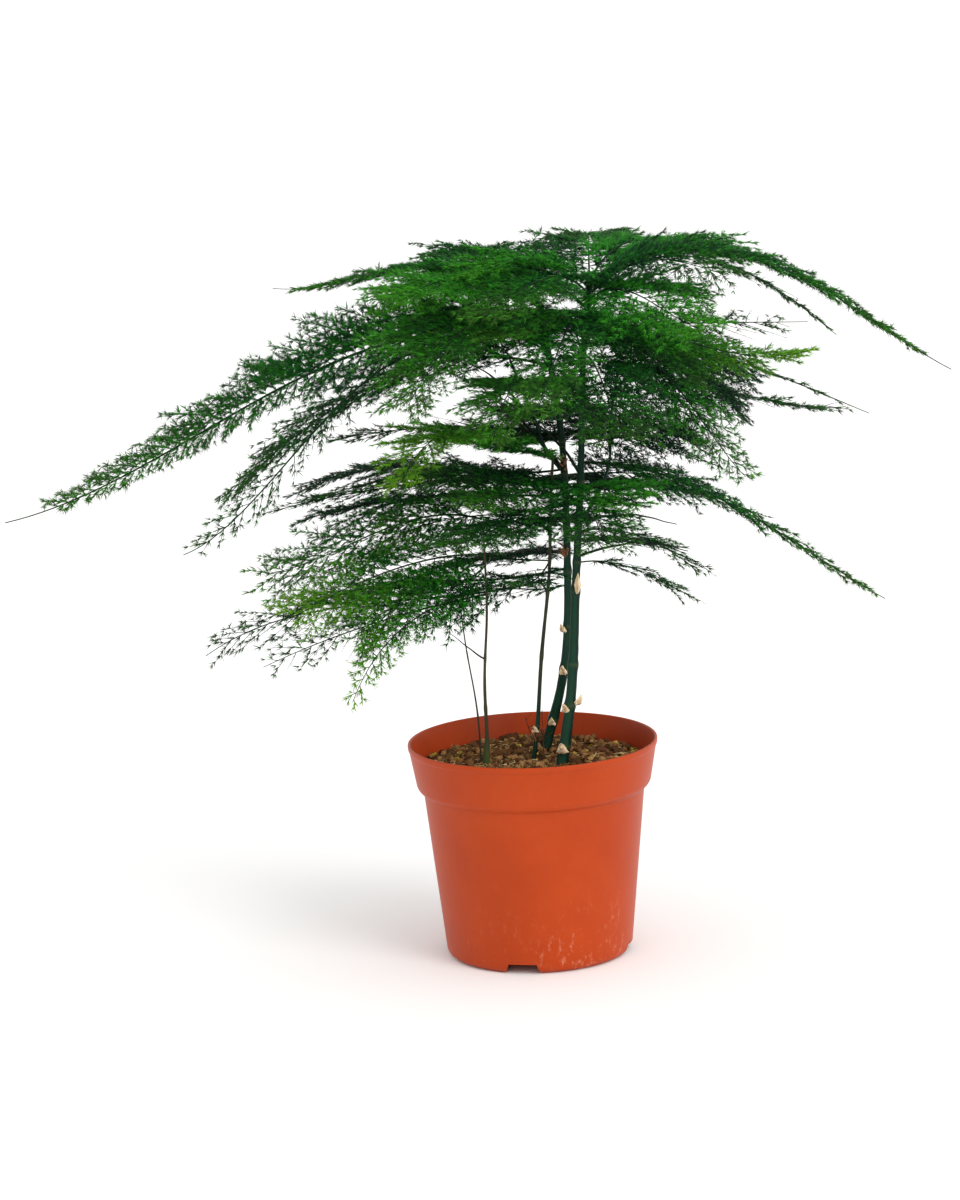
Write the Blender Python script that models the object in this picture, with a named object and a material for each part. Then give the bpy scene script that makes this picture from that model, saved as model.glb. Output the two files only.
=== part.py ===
"""Lace fern (asparagus fern) in a plastic nursery pot, built as separate pieces.

Units are metres, +Z is up, the pot stands on Z = 0 and its axis is the Z axis.
The stems are planted in sockets in the soil, and each flat frond grows out of a stem.
Stem points and frond heights are counted from the middle of the soil surface.
"""

import math

import bmesh
import bpy
from mathutils import Vector

# Pot
RIM_RADIUS = 0.065
POT_HEIGHT = 0.113
WALL = 0.0014
COLLAR_HEIGHT = 0.0215
COLLAR_FLARE = 0.0042  # how far the collar leans out from its foot to the rim
STEP_IN = 0.0032  # from the collar's foot in to the body
STEP_HEIGHT = 0.0040
BODY_TAPER = 0.0092  # from the body's top radius to its base radius
CORNER_RADIUS = 0.0042
FLOOR_LIFT = 0.0055
FOOT_DISC_RADIUS = 0.0140
FOOT_RING_WIDTH = 0.0012
DRAIN_SLOTS = 4
DRAIN_SLOT_WIDTH = 0.0184
DRAIN_SLOT_HEIGHT = 0.0050
DRAIN_SLOT_SLANT = 0.0022
DRAIN_SLOT_HEADING = -102  # degrees round the pot to the first slot
DRAIN_HOLE_RADIUS = 0.0045
DRAIN_HOLE_CIRCLE = 0.0310
POT_SEGMENTS = 56

# Soil
HEADSPACE = 0.0120  # from the soil surface up to the rim
FIT_GAP = 0.0004  # between the soil and the pot
SOCKET_GAP = 0.0004  # between a stem and its socket in the soil
PLANTING_DEPTH = 0.0180

# Plant
GROWTH_GAP = 0.0004  # between a branch or leaf and what it grows from
STEM_THICKNESS = 1.0  # scales every stem's radius
FROND_THICKNESS = 0.0012
PETIOLE_WIDTH = 0.0014
FROND_STATIONS = 9

# Worked out from the sizes above
SOIL_TOP = POT_HEIGHT - HEADSPACE
COLLAR_FOOT_RADIUS = RIM_RADIUS - COLLAR_FLARE
BODY_TOP_RADIUS = COLLAR_FOOT_RADIUS - STEP_IN
BASE_RADIUS = BODY_TOP_RADIUS - BODY_TAPER
FLOOR_TOP = FLOOR_LIFT + WALL

# Each planted stem: radius at the soil and at the tip, then its points above the soil surface.
PLANTED_STEMS = {
    "cane_a": (0.0032, 0.0012, [
        (0.014, -0.011, 0.0), (0.018, -0.010, 0.016), (0.020, -0.008, 0.031),
        (0.023, -0.005, 0.065), (0.025, -0.003, 0.085), (0.028, -0.002, 0.127),
        (0.031, -0.004, 0.174), (0.034, -0.006, 0.220), (0.038, -0.006, 0.253)]),
    "cane_b": (0.0019, 0.0010, [
        (0.007, 0.022, 0.0), (0.010, 0.020, 0.014), (0.014, 0.017, 0.026),
        (0.017, 0.015, 0.039), (0.020, 0.012, 0.061), (0.021, 0.011, 0.083),
        (0.022, 0.011, 0.125), (0.021, 0.012, 0.167), (0.017, 0.010, 0.203),
        (0.011, 0.006, 0.240)]),
    "cane_c": (0.0014, 0.0007, [
        (0.000, 0.003, 0.0), (0.002, 0.003, 0.011), (0.004, 0.003, 0.025),
        (0.005, 0.004, 0.045), (0.008, 0.005, 0.066), (0.011, 0.005, 0.089),
        (0.013, 0.005, 0.117), (0.015, 0.003, 0.147), (0.016, 0.001, 0.164)]),
    "wiry_stem_e": (0.0013, 0.0005, [
        (-0.025, -0.004, 0.0), (-0.023, -0.004, 0.029), (-0.024, -0.004, 0.045),
        (-0.023, -0.005, 0.057), (-0.021, -0.006, 0.076), (-0.021, -0.007, 0.094),
        (-0.021, -0.008, 0.109), (-0.021, -0.010, 0.133)]),
    "wiry_stem_f": (0.0008, 0.0004, [
        (-0.027, 0.004, 0.0), (-0.028, 0.006, 0.025), (-0.030, 0.009, 0.043),
        (-0.032, 0.011, 0.054), (-0.034, 0.014, 0.074), (-0.036, 0.016, 0.084)]),
    "dry_sprig_a": (0.0005, 0.0003, [
        (0.001, 0.014, 0.0), (0.000, 0.014, 0.007), (-0.001, 0.016, 0.014),
        (-0.004, 0.018, 0.020)]),
    "dry_sprig_b": (0.0005, 0.0003, [
        (0.006, 0.012, 0.0), (0.006, 0.012, 0.013), (0.006, 0.012, 0.024)]),
}

# Each woody branch: the stem it leaves, where, its radii, then its points above the soil surface.
BRANCHES = {
    "branch_left": ("cane_b", 0.150, 0.0010, 0.0006, [
        (0.014, 0.009, 0.160), (0.010, 0.005, 0.170), (0.006, 0.000, 0.184),
        (0.001, -0.005, 0.197), (-0.005, -0.010, 0.215)]),
    "branch_right": ("cane_a", 0.124, 0.0009, 0.0006, [
        (0.037, 0.006, 0.136), (0.042, 0.008, 0.146), (0.045, 0.009, 0.153),
        (0.046, 0.010, 0.171), (0.049, 0.012, 0.190), (0.052, 0.012, 0.204)]),
}

# Each frond: stem, height, heading (degrees from +X towards +Y), length,
# slopes at its foot, middle and tip (degrees above level), width.
FRONDS = {
    "top_right_long": ("cane_a", 0.251, -8, 0.200, (40, -25, -30), 0.030),
    "top_right_low": ("cane_a", 0.245, 22, 0.155, (40, -20, -40), 0.024),
    "top_back_right": ("cane_a", 0.253, 55, 0.130, (40, -10, -5), 0.040),
    "top_back_left": ("cane_b", 0.234, 114, 0.125, (60, 2, -5), 0.038),
    "top_back": ("cane_a", 0.249, 88, 0.140, (15, 5, -10), 0.040),
    "top_left": ("cane_b", 0.238, 168, 0.145, (55, -8, 5), 0.026),
    "left_long": ("cane_b", 0.219, -170, 0.295, (20, -25, -10), 0.040),
    "left_second": ("branch_left", 0.213, -157, 0.210, (35, -40, -20), 0.036),
    "left_third": ("cane_b", 0.206, -178, 0.190, (20, -25, -40), 0.036),
    "front_left": ("cane_b", 0.224, -118, 0.155, (35, -10, -35), 0.044),
    "front_mid_left": ("cane_b", 0.187, -103, 0.155, (22, 6, -38), 0.036),
    "front_mid": ("cane_a", 0.234, -102, 0.140, (10, -15, -20), 0.044),
    "front_mid_right": ("cane_a", 0.212, -84, 0.120, (10, -15, -20), 0.036),
    "front_right": ("cane_a", 0.225, -48, 0.130, (10, -40, -35), 0.032),
    "front_top_left": ("cane_b", 0.231, -158, 0.095, (48, 8, -25), 0.034),
    "right_bright": ("cane_a", 0.232, -22, 0.115, (-5, -15, 15), 0.030),
    "right_bare": ("cane_a", 0.217, 10, 0.155, (5, -20, -25), 0.026),
    "right_dark": ("cane_a", 0.225, 35, 0.145, (0, -5, -5), 0.034),
    "right_sparse": ("branch_right", 0.189, 18, 0.130, (15, -15, 0), 0.026),
    "right_back_low": ("branch_right", 0.201, 58, 0.140, (15, -20, -40), 0.036),
    "right_back_high": ("cane_a", 0.217, 55, 0.165, (10, -15, -20), 0.040),
    "mid_left_bright": ("branch_left", 0.161, -123, 0.140, (5, 15, -50), 0.034),
    "mid_left_back": ("cane_b", 0.151, 152, 0.160, (-10, 0, -35), 0.040),
    "mid_left_back_low": ("cane_c", 0.139, 160, 0.140, (0, -5, -20), 0.036),
    "mid_back_right": ("cane_b", 0.148, 55, 0.125, (-5, -10, -10), 0.040),
    "mid_back": ("cane_b", 0.160, 92, 0.115, (30, 0, -30), 0.040),
    "mid_front_left": ("cane_c", 0.134, -115, 0.115, (0, 0, 0), 0.034),
    "mid_front_right": ("cane_a", 0.139, -85, 0.095, (10, -5, -20), 0.034),
    "mid_right_long": ("cane_a", 0.157, -12, 0.170, (0, -30, -30), 0.026),
    "mid_right": ("cane_a", 0.121, 36, 0.085, (0, -25, -40), 0.024),
    "mid_right_back": ("cane_b", 0.136, 45, 0.115, (10, -10, -25), 0.034),
    "low_left": ("wiry_stem_e", 0.131, -172, 0.115, (20, -20, -5), 0.036),
    "low_left_front": ("wiry_stem_e", 0.112, -148, 0.115, (10, -10, -15), 0.036),
    "low_left_long": ("cane_c", 0.095, 174, 0.185, (-15, -5, -35), 0.034),
    "low_hanging": ("wiry_stem_e", 0.094, -128, 0.120, (0, -15, -55), 0.032),
    "low_left_back": ("cane_b", 0.099, 162, 0.165, (-15, -5, -35), 0.036),
    "low_right": ("cane_a", 0.105, 5, 0.060, (5, -25, -30), 0.022),
    "low_back_left": ("cane_b", 0.107, 120, 0.100, (-5, -10, -15), 0.034),
    "low_back_right": ("cane_b", 0.114, 60, 0.100, (-10, -10, -15), 0.034),
    "low_front": ("cane_c", 0.104, -100, 0.095, (-5, 5, 10), 0.030),
}

# Each papery scale leaf: stem, height, heading round the stem, length, width.
SCALE_LEAVES = {
    "scale_leaf_1": ("cane_a", 0.010, -110, 0.0060, 0.0058),
    "scale_leaf_2": ("cane_a", 0.031, -130, 0.0050, 0.0040),
    "scale_leaf_3": ("cane_a", 0.034, -15, 0.0058, 0.0054),
    "scale_leaf_4": ("cane_b", 0.046, -100, 0.0056, 0.0040),
    "scale_leaf_5": ("cane_b", 0.069, -140, 0.0046, 0.0040),
    "scale_leaf_6": ("cane_b", 0.018, -100, 0.0046, 0.0036),
    "scale_leaf_7": ("cane_c", 0.018, -120, 0.0040, 0.0034),
    "sheath": ("cane_a", 0.090, -80, 0.0100, 0.0048),
}


def clear_scene():
    for thing in list(bpy.data.objects):
        bpy.data.objects.remove(thing, do_unlink=True)


def material(name, colour, roughness):
    made = bpy.data.materials.new(name)
    made.use_nodes = True
    shader = made.node_tree.nodes["Principled BSDF"]
    shader.inputs["Base Color"].default_value = (*colour, 1.0)
    shader.inputs["Roughness"].default_value = roughness
    shader.inputs["Metallic"].default_value = 0.0
    return made


def object_from(bm, name, finish):
    """Turn a bmesh into an object with outward faces and smooth shading."""
    bmesh.ops.recalc_face_normals(bm, faces=bm.faces)
    mesh = bpy.data.meshes.new(name)
    bm.to_mesh(mesh)
    bm.free()
    mesh.shade_smooth()
    mesh.set_sharp_from_angle(angle=math.radians(35))
    made = bpy.data.objects.new(name, mesh)
    bpy.context.scene.collection.objects.link(made)
    mesh.materials.append(finish)
    return made


def arc(centre_r, centre_z, radius, start, end, steps):
    """Points of an arc in the (radius, height) plane, angles in degrees."""
    angles = [math.radians(start + (end - start) * i / steps) for i in range(steps + 1)]
    return [(centre_r + radius * math.cos(a), centre_z + radius * math.sin(a)) for a in angles]


def turned(profile, segments, name, finish):
    """A solid of revolution: the profile runs from the axis round the outside and back to it."""
    bm = bmesh.new()
    points = [bm.verts.new((r, 0.0, z)) for r, z in profile]
    edges = [bm.edges.new(pair) for pair in zip(points, points[1:])]
    bmesh.ops.spin(bm, geom=points + edges, axis=(0, 0, 1), cent=(0, 0, 0),
                   angle=math.tau, steps=segments, use_merge=True)
    bmesh.ops.remove_doubles(bm, verts=bm.verts, dist=1e-6)
    return object_from(bm, name, finish)


def cut(target, cutter):
    """Take a cutter out of a target, and keep the cutter as a hidden guide."""
    cutter.hide_render = True
    cutter.display_type = "WIRE"
    modifier = target.modifiers.new(cutter.name, "BOOLEAN")
    modifier.operation = "DIFFERENCE"
    modifier.solver = "EXACT"
    modifier.object = cutter


def prism(outline, low, high, name, finish):
    """An outline in the X-Z plane carried along Y from low to high."""
    bm = bmesh.new()
    face = bm.faces.new([bm.verts.new((x, low, z)) for x, z in outline])
    grown = bmesh.ops.extrude_face_region(bm, geom=[face])["geom"]
    moved = [v for v in grown if isinstance(v, bmesh.types.BMVert)]
    bmesh.ops.translate(bm, verts=moved, vec=(0, high - low, 0))
    return object_from(bm, name, finish)


def cylinder(radius, low, high, place, name, finish):
    bm = bmesh.new()
    bmesh.ops.create_cone(bm, cap_ends=True, segments=12, radius1=radius, radius2=radius,
                          depth=high - low)
    bmesh.ops.translate(bm, verts=bm.verts, vec=(*place, (high + low) / 2))
    return object_from(bm, name, finish)


def tube(name, points, foot_radius, tip_radius, finish):
    """A tapering stem: a curve with a round bevel and filled caps through the given points."""
    curve = bpy.data.curves.new(name, "CURVE")
    curve.dimensions = "3D"
    curve.resolution_u = 2
    curve.bevel_depth = 1.0
    curve.bevel_resolution = 2
    curve.use_fill_caps = True
    spline = curve.splines.new("BEZIER")
    spline.bezier_points.add(len(points) - 1)
    for i, (knot, place) in enumerate(zip(spline.bezier_points, points)):
        share = i / (len(points) - 1)
        knot.co = place
        knot.radius = foot_radius + (tip_radius - foot_radius) * share ** 0.8
        knot.handle_left_type = knot.handle_right_type = "AUTO"
    made = bpy.data.objects.new(name, curve)
    bpy.context.scene.collection.objects.link(made)
    curve.materials.append(finish)
    return made


def above_soil(points):
    return [Vector((x, y, SOIL_TOP + z)) for x, y, z in points]


class Stem:
    """A stem's line and radius, which its branches, fronds and scale leaves are placed on."""

    def __init__(self, points, foot_radius, tip_radius):
        self.points = points
        self.foot_radius = foot_radius
        self.tip_radius = tip_radius

    def at(self, height):
        """The stem's centre and radius at a height above the soil."""
        level = SOIL_TOP + height
        last = len(self.points) - 1
        for i, (low, high) in enumerate(zip(self.points, self.points[1:])):
            if level <= high.z or i == last - 1:
                share = min(max((level - low.z) / (high.z - low.z), 0.0), 1.0)
                along = (i + share) / last
                radius = self.foot_radius + (self.tip_radius - self.foot_radius) * along ** 0.8
                return low.lerp(high, share), radius
        raise ValueError("a stem needs two points")


def direction(heading, slope):
    a, e = math.radians(heading), math.radians(slope)
    return Vector((math.cos(e) * math.cos(a), math.cos(e) * math.sin(a), math.sin(e)))


def blade(name, foot, heading, length, slopes, width, thickness, finish, stations=FROND_STATIONS):
    """A thin pointed blade of lens section along an arching line.

    The line's slope passes through the three given slopes. The half width rises from the
    petiole to its full value two fifths of the way out and falls to a point.
    """
    rise, middle, tip = slopes
    side = Vector((-math.sin(math.radians(heading)), math.cos(math.radians(heading)), 0.0))
    place = foot.copy()
    bm = bmesh.new()
    rings = []
    fine_steps = 8
    for station in range(stations + 1):
        t = station / stations
        slope = rise * (1 - t) * (1 - 2 * t) + 4 * middle * t * (1 - t) + tip * t * (2 * t - 1)
        up = direction(heading, slope).cross(side)
        swell = math.sin(math.pi * min(t, 0.97) ** 0.75)
        half = (PETIOLE_WIDTH + (width - PETIOLE_WIDTH) * swell) / 2
        deep = (0.5 + 0.5 * swell) * thickness / 2
        section = ((-1, 0), (-0.5, 0.8), (0.5, 0.8), (1, 0), (0.5, -0.8), (-0.5, -0.8))
        rings.append([bm.verts.new(place + side * (half * a) + up * (deep * b)) for a, b in section])
        for step in range(fine_steps):
            u = (station + (step + 0.5) / fine_steps) / stations
            bend = rise * (1 - u) * (1 - 2 * u) + 4 * middle * u * (1 - u) + tip * u * (2 * u - 1)
            place = place + direction(heading, bend) * (length / stations / fine_steps)
    for near, far in zip(rings, rings[1:]):
        for i in range(6):
            j = (i + 1) % 6
            bm.faces.new((near[i], near[j], far[j], far[i]))
    bm.faces.new(rings[0])
    bm.faces.new(rings[-1])
    return object_from(bm, name, finish)


def pot_inside(gap):
    """The pot's inner outline from the rim down to the axis, moved inwards by a gap."""
    wall = WALL + gap
    floor = FLOOR_TOP + gap
    well = FOOT_DISC_RADIUS - gap
    return [
        (COLLAR_FOOT_RADIUS - wall, POT_HEIGHT - COLLAR_HEIGHT + WALL / 2),
        (BODY_TOP_RADIUS - wall, POT_HEIGHT - COLLAR_HEIGHT - STEP_HEIGHT + WALL / 2),
        (BASE_RADIUS - wall, floor + CORNER_RADIUS / 2),
        (BASE_RADIUS - wall - CORNER_RADIUS / 2, floor),
        (well + FLOOR_LIFT / 2, floor),
        (well, WALL + gap),
        (0.0, WALL + gap),
    ]


def inner_radius(height, gap):
    """The inside radius of the collar at a height, less a gap."""
    top, low = POT_HEIGHT, POT_HEIGHT - COLLAR_HEIGHT + WALL / 2
    share = (height - low) / (top - low)
    return COLLAR_FOOT_RADIUS - WALL - gap + COLLAR_FLARE * share


def make_pot(finish, guide):
    lip = WALL / 2
    outline = [
        (0.0, 0.0),
        (FOOT_DISC_RADIUS, 0.0),
        (FOOT_DISC_RADIUS + FLOOR_LIFT / 2, FLOOR_LIFT),
        (BASE_RADIUS - WALL, FLOOR_LIFT),
        (BASE_RADIUS - CORNER_RADIUS - FOOT_RING_WIDTH, 0.0),
    ]
    outline += arc(BASE_RADIUS - CORNER_RADIUS, CORNER_RADIUS, CORNER_RADIUS, -90, 0, 4)
    outline += [(BODY_TOP_RADIUS, POT_HEIGHT - COLLAR_HEIGHT - STEP_HEIGHT)]
    outline += arc(COLLAR_FOOT_RADIUS - STEP_IN, POT_HEIGHT - COLLAR_HEIGHT, STEP_IN, -60, 0, 3)
    outline += arc(RIM_RADIUS - lip, POT_HEIGHT - lip, lip, 0, 180, 4)
    outline += pot_inside(0.0)
    pot = turned(outline, POT_SEGMENTS, "pot", finish)
    half = DRAIN_SLOT_WIDTH / 2
    mouth = WALL  # the slot cutter starts this far below the ground
    for i in range(DRAIN_SLOTS):
        angle = DRAIN_SLOT_HEADING + 360 * i / DRAIN_SLOTS
        slot = prism(
            [(-half, -mouth), (half, -mouth), (half, 0.0),
             (half - DRAIN_SLOT_SLANT, DRAIN_SLOT_HEIGHT),
             (DRAIN_SLOT_SLANT - half, DRAIN_SLOT_HEIGHT), (-half, 0.0)],
            BASE_RADIUS - 3 * CORNER_RADIUS, BASE_RADIUS + CORNER_RADIUS, f"slot_guide_{i}", guide)
        slot.rotation_euler.z = math.radians(angle - 90)
        cut(pot, slot)
        hole_place = direction(angle + 180 / DRAIN_SLOTS, 0) * DRAIN_HOLE_CIRCLE
        hole = cylinder(DRAIN_HOLE_RADIUS, FLOOR_LIFT / 2, FLOOR_TOP + FLOOR_LIFT / 2,
                        hole_place.xy, f"hole_guide_{i}", guide)
        cut(pot, hole)
    return pot


def make_soil(finish, guide):
    surface_radius = inner_radius(SOIL_TOP, FIT_GAP)
    outline = [(0.0, SOIL_TOP), (surface_radius, SOIL_TOP)] + pot_inside(FIT_GAP)
    soil = turned(outline, POT_SEGMENTS, "soil", finish)
    for name, (radius, _, points) in PLANTED_STEMS.items():
        socket = cylinder(radius * STEM_THICKNESS + SOCKET_GAP,
                          SOIL_TOP - PLANTING_DEPTH - SOCKET_GAP, SOIL_TOP + HEADSPACE,
                          points[0][:2], f"socket_guide_{name}", guide)
        cut(soil, socket)
    return soil


def make_stems(finishes):
    """The planted stems, straight down into the soil, and the woody branches on them."""
    stems = {}
    for name, (foot, tip, points) in PLANTED_STEMS.items():
        foot, tip = foot * STEM_THICKNESS, tip * STEM_THICKNESS
        line = above_soil(points)
        stems[name] = Stem(line, foot, tip)
        buried = line[0] - Vector((0, 0, PLANTING_DEPTH))
        finish = finishes["dry"] if name.startswith("dry") else finishes["cane"]
        tube(name, [buried] + line, foot, tip, finish)
    for name, (parent, height, foot, tip, points) in BRANCHES.items():
        foot, tip = foot * STEM_THICKNESS, tip * STEM_THICKNESS
        line = above_soil(points)
        centre, radius = stems[parent].at(height)
        away = (line[0] - centre).normalized()
        line = [centre + away * (radius + 2 * foot + GROWTH_GAP)] + line
        stems[name] = Stem(line, foot, tip)
        tube(name, line, foot, tip, finishes["cane"])
    return stems


def make_fronds(stems, finish):
    for name, (parent, height, heading, length, slopes, width) in FRONDS.items():
        centre, radius = stems[parent].at(height)
        foot = centre + direction(heading, 0) * (radius + GROWTH_GAP + FROND_THICKNESS / 2)
        blade(f"frond_{name}", foot, heading, length, slopes, width, FROND_THICKNESS, finish)


def make_scale_leaves(stems, finish):
    """Papery bracts that stand up against the stem, each with its foot out from the bark."""
    lean = (75, 75, 70)
    thickness = 0.0008
    for name, (parent, height, heading, length, width) in SCALE_LEAVES.items():
        centre, radius = stems[parent].at(height)
        foot = centre + direction(heading, 0) * (radius + GROWTH_GAP + thickness)
        blade(name, foot, heading, length, lean, width, thickness, finish, stations=4)


def main():
    clear_scene()
    terracotta = material("terracotta_plastic", (0.58, 0.09, 0.025), 0.45)
    peat = material("potting_soil", (0.10, 0.055, 0.03), 0.95)
    guide = material("guide", (0.5, 0.5, 0.5), 0.5)
    stem_finishes = {
        "cane": material("cane_bark", (0.012, 0.06, 0.028), 0.5),
        "dry": material("dry_stem", (0.16, 0.05, 0.03), 0.8),
    }
    make_pot(terracotta, guide)
    make_soil(peat, guide)
    stems = make_stems(stem_finishes)
    make_fronds(stems, material("foliage", (0.02, 0.13, 0.02), 0.6))
    make_scale_leaves(stems, material("dry_bract", (0.60, 0.42, 0.25), 0.8))


main()
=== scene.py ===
"""Looks of a potted lace fern: plastic nursery pot, peat, woody canes and feathery sprays.

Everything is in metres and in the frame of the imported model. Each spray, stem and papery
leaf is grown along the solid that it stands for, so its place comes from the frame.
"""

import math

import bpy
import numpy as np
from mathutils import Matrix, Vector


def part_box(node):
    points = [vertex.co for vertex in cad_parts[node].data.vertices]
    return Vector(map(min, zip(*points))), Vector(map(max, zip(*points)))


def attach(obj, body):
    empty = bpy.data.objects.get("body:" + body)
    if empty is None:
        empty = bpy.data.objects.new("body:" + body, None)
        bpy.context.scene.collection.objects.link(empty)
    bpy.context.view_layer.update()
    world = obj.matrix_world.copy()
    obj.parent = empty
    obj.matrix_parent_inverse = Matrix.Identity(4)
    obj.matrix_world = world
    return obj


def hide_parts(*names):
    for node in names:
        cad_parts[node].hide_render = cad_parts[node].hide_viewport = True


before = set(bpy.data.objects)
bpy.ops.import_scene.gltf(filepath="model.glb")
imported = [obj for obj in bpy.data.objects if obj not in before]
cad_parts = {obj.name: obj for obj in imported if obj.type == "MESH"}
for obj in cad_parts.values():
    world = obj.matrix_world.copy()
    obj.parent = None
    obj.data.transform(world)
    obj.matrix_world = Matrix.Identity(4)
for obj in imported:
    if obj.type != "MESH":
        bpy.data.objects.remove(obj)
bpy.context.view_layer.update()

RIM_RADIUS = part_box("pot")[1].x
POT_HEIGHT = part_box("pot")[1].z
SOIL_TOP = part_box("soil")[1].z
SOIL_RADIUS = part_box("soil")[1].x
UP = np.array([0.0, 0.0, 1.0])
TURN = 2 * math.pi

# ---------------------------------------------------------------- camera, floor and light

VIEW_TARGET = Vector((-0.0243, 0.0, 0.1877))
VIEW_DISTANCE = 2.0
VIEW_ELEVATION = math.radians(11.08)
VIEW_ROLL = math.radians(-2.29)
VIEW_LENS = 116.2


def set_camera():
    """A camera on the plant's front side, a little above it and rolled slightly."""
    back = Vector((0.0, -math.cos(VIEW_ELEVATION), math.sin(VIEW_ELEVATION)))
    right = Vector((1.0, 0.0, 0.0))
    up = back.cross(right)
    turned_right = right * math.cos(VIEW_ROLL) + up * math.sin(VIEW_ROLL)
    turned_up = up * math.cos(VIEW_ROLL) - right * math.sin(VIEW_ROLL)
    data = bpy.data.cameras.new("camera")
    data.lens = VIEW_LENS
    data.sensor_width = 36.0
    data.clip_end = 100.0
    camera = bpy.data.objects.new("camera", data)
    bpy.context.scene.collection.objects.link(camera)
    place = VIEW_TARGET + back * VIEW_DISTANCE
    axes = Matrix((turned_right, turned_up, back)).transposed().to_4x4()
    camera.matrix_world = Matrix.Translation(place) @ axes
    bpy.context.scene.camera = camera


def sun_light(name, toward, softness, power, tint):
    """An even light from one side. softness is the angle in degrees that its source spans."""
    data = bpy.data.lights.new(name, "SUN")
    data.angle = math.radians(softness)
    data.energy = power
    data.color = tint
    lamp = bpy.data.objects.new(name, data)
    bpy.context.scene.collection.objects.link(lamp)
    lamp.rotation_euler = Vector(toward).to_track_quat("Z", "Y").to_euler()


def set_light():
    """A white room, a soft key from the lower right in front, and a softer light from above."""
    world = bpy.data.worlds.new("white_room")
    bpy.context.scene.world = world
    world.use_nodes = True
    sky = world.node_tree.nodes["Background"]
    sky.inputs["Color"].default_value = (1.0, 1.0, 1.0, 1.0)
    sky.inputs["Strength"].default_value = 1.0
    sun_light("key", (1.1, -1.2, 0.95), 30.0, 1.20, (1.0, 0.98, 0.95))
    sun_light("top_light", (0.3, -0.35, 1.0), 60.0, 0.5, (1.0, 1.0, 1.0))
    bpy.context.scene.view_settings.view_transform = "Standard"


# ---------------------------------------------------------------- finishes


def rgb(red, green, blue):
    """A display colour of 0 to 255 as the linear colour a shader takes."""
    shares = np.array([red, green, blue]) / 255
    linear = np.where(shares <= 0.04045, shares / 12.92, ((shares + 0.055) / 1.055) ** 2.4)
    return (*linear.tolist(), 1.0)


class Wire:
    """One socket of a finish. Arithmetic on it adds the Math node that does it."""

    def __init__(self, finish, socket):
        self.finish = finish
        self.socket = socket

    def join(self, operation, *others):
        sockets = {i: value for i, value in enumerate((self, *others))}
        return self.finish.node("ShaderNodeMath", {"operation": operation}, sockets)

    def __add__(self, other):
        return self.join("ADD", other)

    __radd__ = __add__

    def __mul__(self, other):
        return self.join("MULTIPLY", other)

    __rmul__ = __mul__

    def __sub__(self, other):
        return self.join("SUBTRACT", other)

    def __rsub__(self, other):
        return (self * -1) + other

    def most(self, other):
        return self.join("MAXIMUM", other)

    def least(self, other):
        return self.join("MINIMUM", other)

    def rise(self, low, high):
        """0 below low, 1 above high and a smooth step between them."""
        sockets = {"Value": self, "From Min": low, "From Max": high, "To Min": 0.0, "To Max": 1.0}
        return self.finish.node("ShaderNodeMapRange", {"interpolation_type": "SMOOTHSTEP"}, sockets)


class Finish:
    """A material with one Principled shader, put together node by node."""

    def __init__(self, name, roughness, specular):
        self.material = bpy.data.materials.new(name)
        self.material.use_nodes = True
        self.tree = self.material.node_tree
        self.shader = self.tree.nodes["Principled BSDF"]
        self.shader.inputs["Roughness"].default_value = roughness
        self.shader.inputs["Specular IOR Level"].default_value = specular

    def node(self, kind, settings, sockets, out=0):
        """Any node: its settings first, then a value or a link for each of its sockets."""
        made = self.tree.nodes.new(kind)
        for key, value in settings.items():
            if key == "stops":
                ramp = made.color_ramp.elements
                while len(ramp) < len(value):
                    ramp.new(0.5)
                for stop, (place, tint) in zip(ramp, value):
                    stop.position, stop.color = place, tint
            else:
                setattr(made, key, value)
        for key, value in sockets.items():
            if isinstance(value, Wire):
                self.tree.links.new(value.socket, made.inputs[key])
            else:
                made.inputs[key].default_value = value
        return Wire(self, made.outputs[out])

    def place(self):
        return self.node("ShaderNodeTexCoord", {}, {}, out="Object")

    def channels(self, attribute):
        """The three numbers of a colour attribute, one wire each."""
        read = self.node("ShaderNodeAttribute", {"attribute_name": attribute}, {}, out="Color")
        split = self.node("ShaderNodeSeparateColor", {}, {"Color": read})
        return [Wire(self, output) for output in split.socket.node.outputs]

    def speckle(self, scale, detail=3.0, rough=0.55, vector=None):
        """Noise from 0 to 1 on Object coordinates, or on another vector."""
        sockets = {"Vector": vector or self.place(), "Scale": scale, "Detail": detail,
                   "Roughness": rough}
        return self.node("ShaderNodeTexNoise", {}, sockets, out="Fac")

    def stretched(self, x, y, z):
        """Object coordinates with each axis scaled, to draw a pattern out along one of them."""
        return self.node("ShaderNodeMapping", {}, {"Vector": self.place(), "Scale": (x, y, z)})

    def blend(self, share, first, second):
        sockets = {"Factor": share, 6: first, 7: second}
        return self.node("ShaderNodeMix", {"data_type": "RGBA"}, sockets, out=2)

    def ramp(self, value, stops):
        return self.node("ShaderNodeValToRGB", {"stops": stops}, {"Fac": value}, out="Color")

    def split(self, vector):
        read = self.node("ShaderNodeSeparateXYZ", {}, {"Vector": vector})
        return [Wire(self, output) for output in read.socket.node.outputs]

    def bump(self, height, depth, strength=1.0):
        sockets = {"Height": height, "Distance": depth, "Strength": strength}
        self.feed("Normal", self.node("ShaderNodeBump", {}, sockets, out="Normal"))

    def feed(self, name, wire):
        self.tree.links.new(wire.socket, self.shader.inputs[name])


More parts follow.
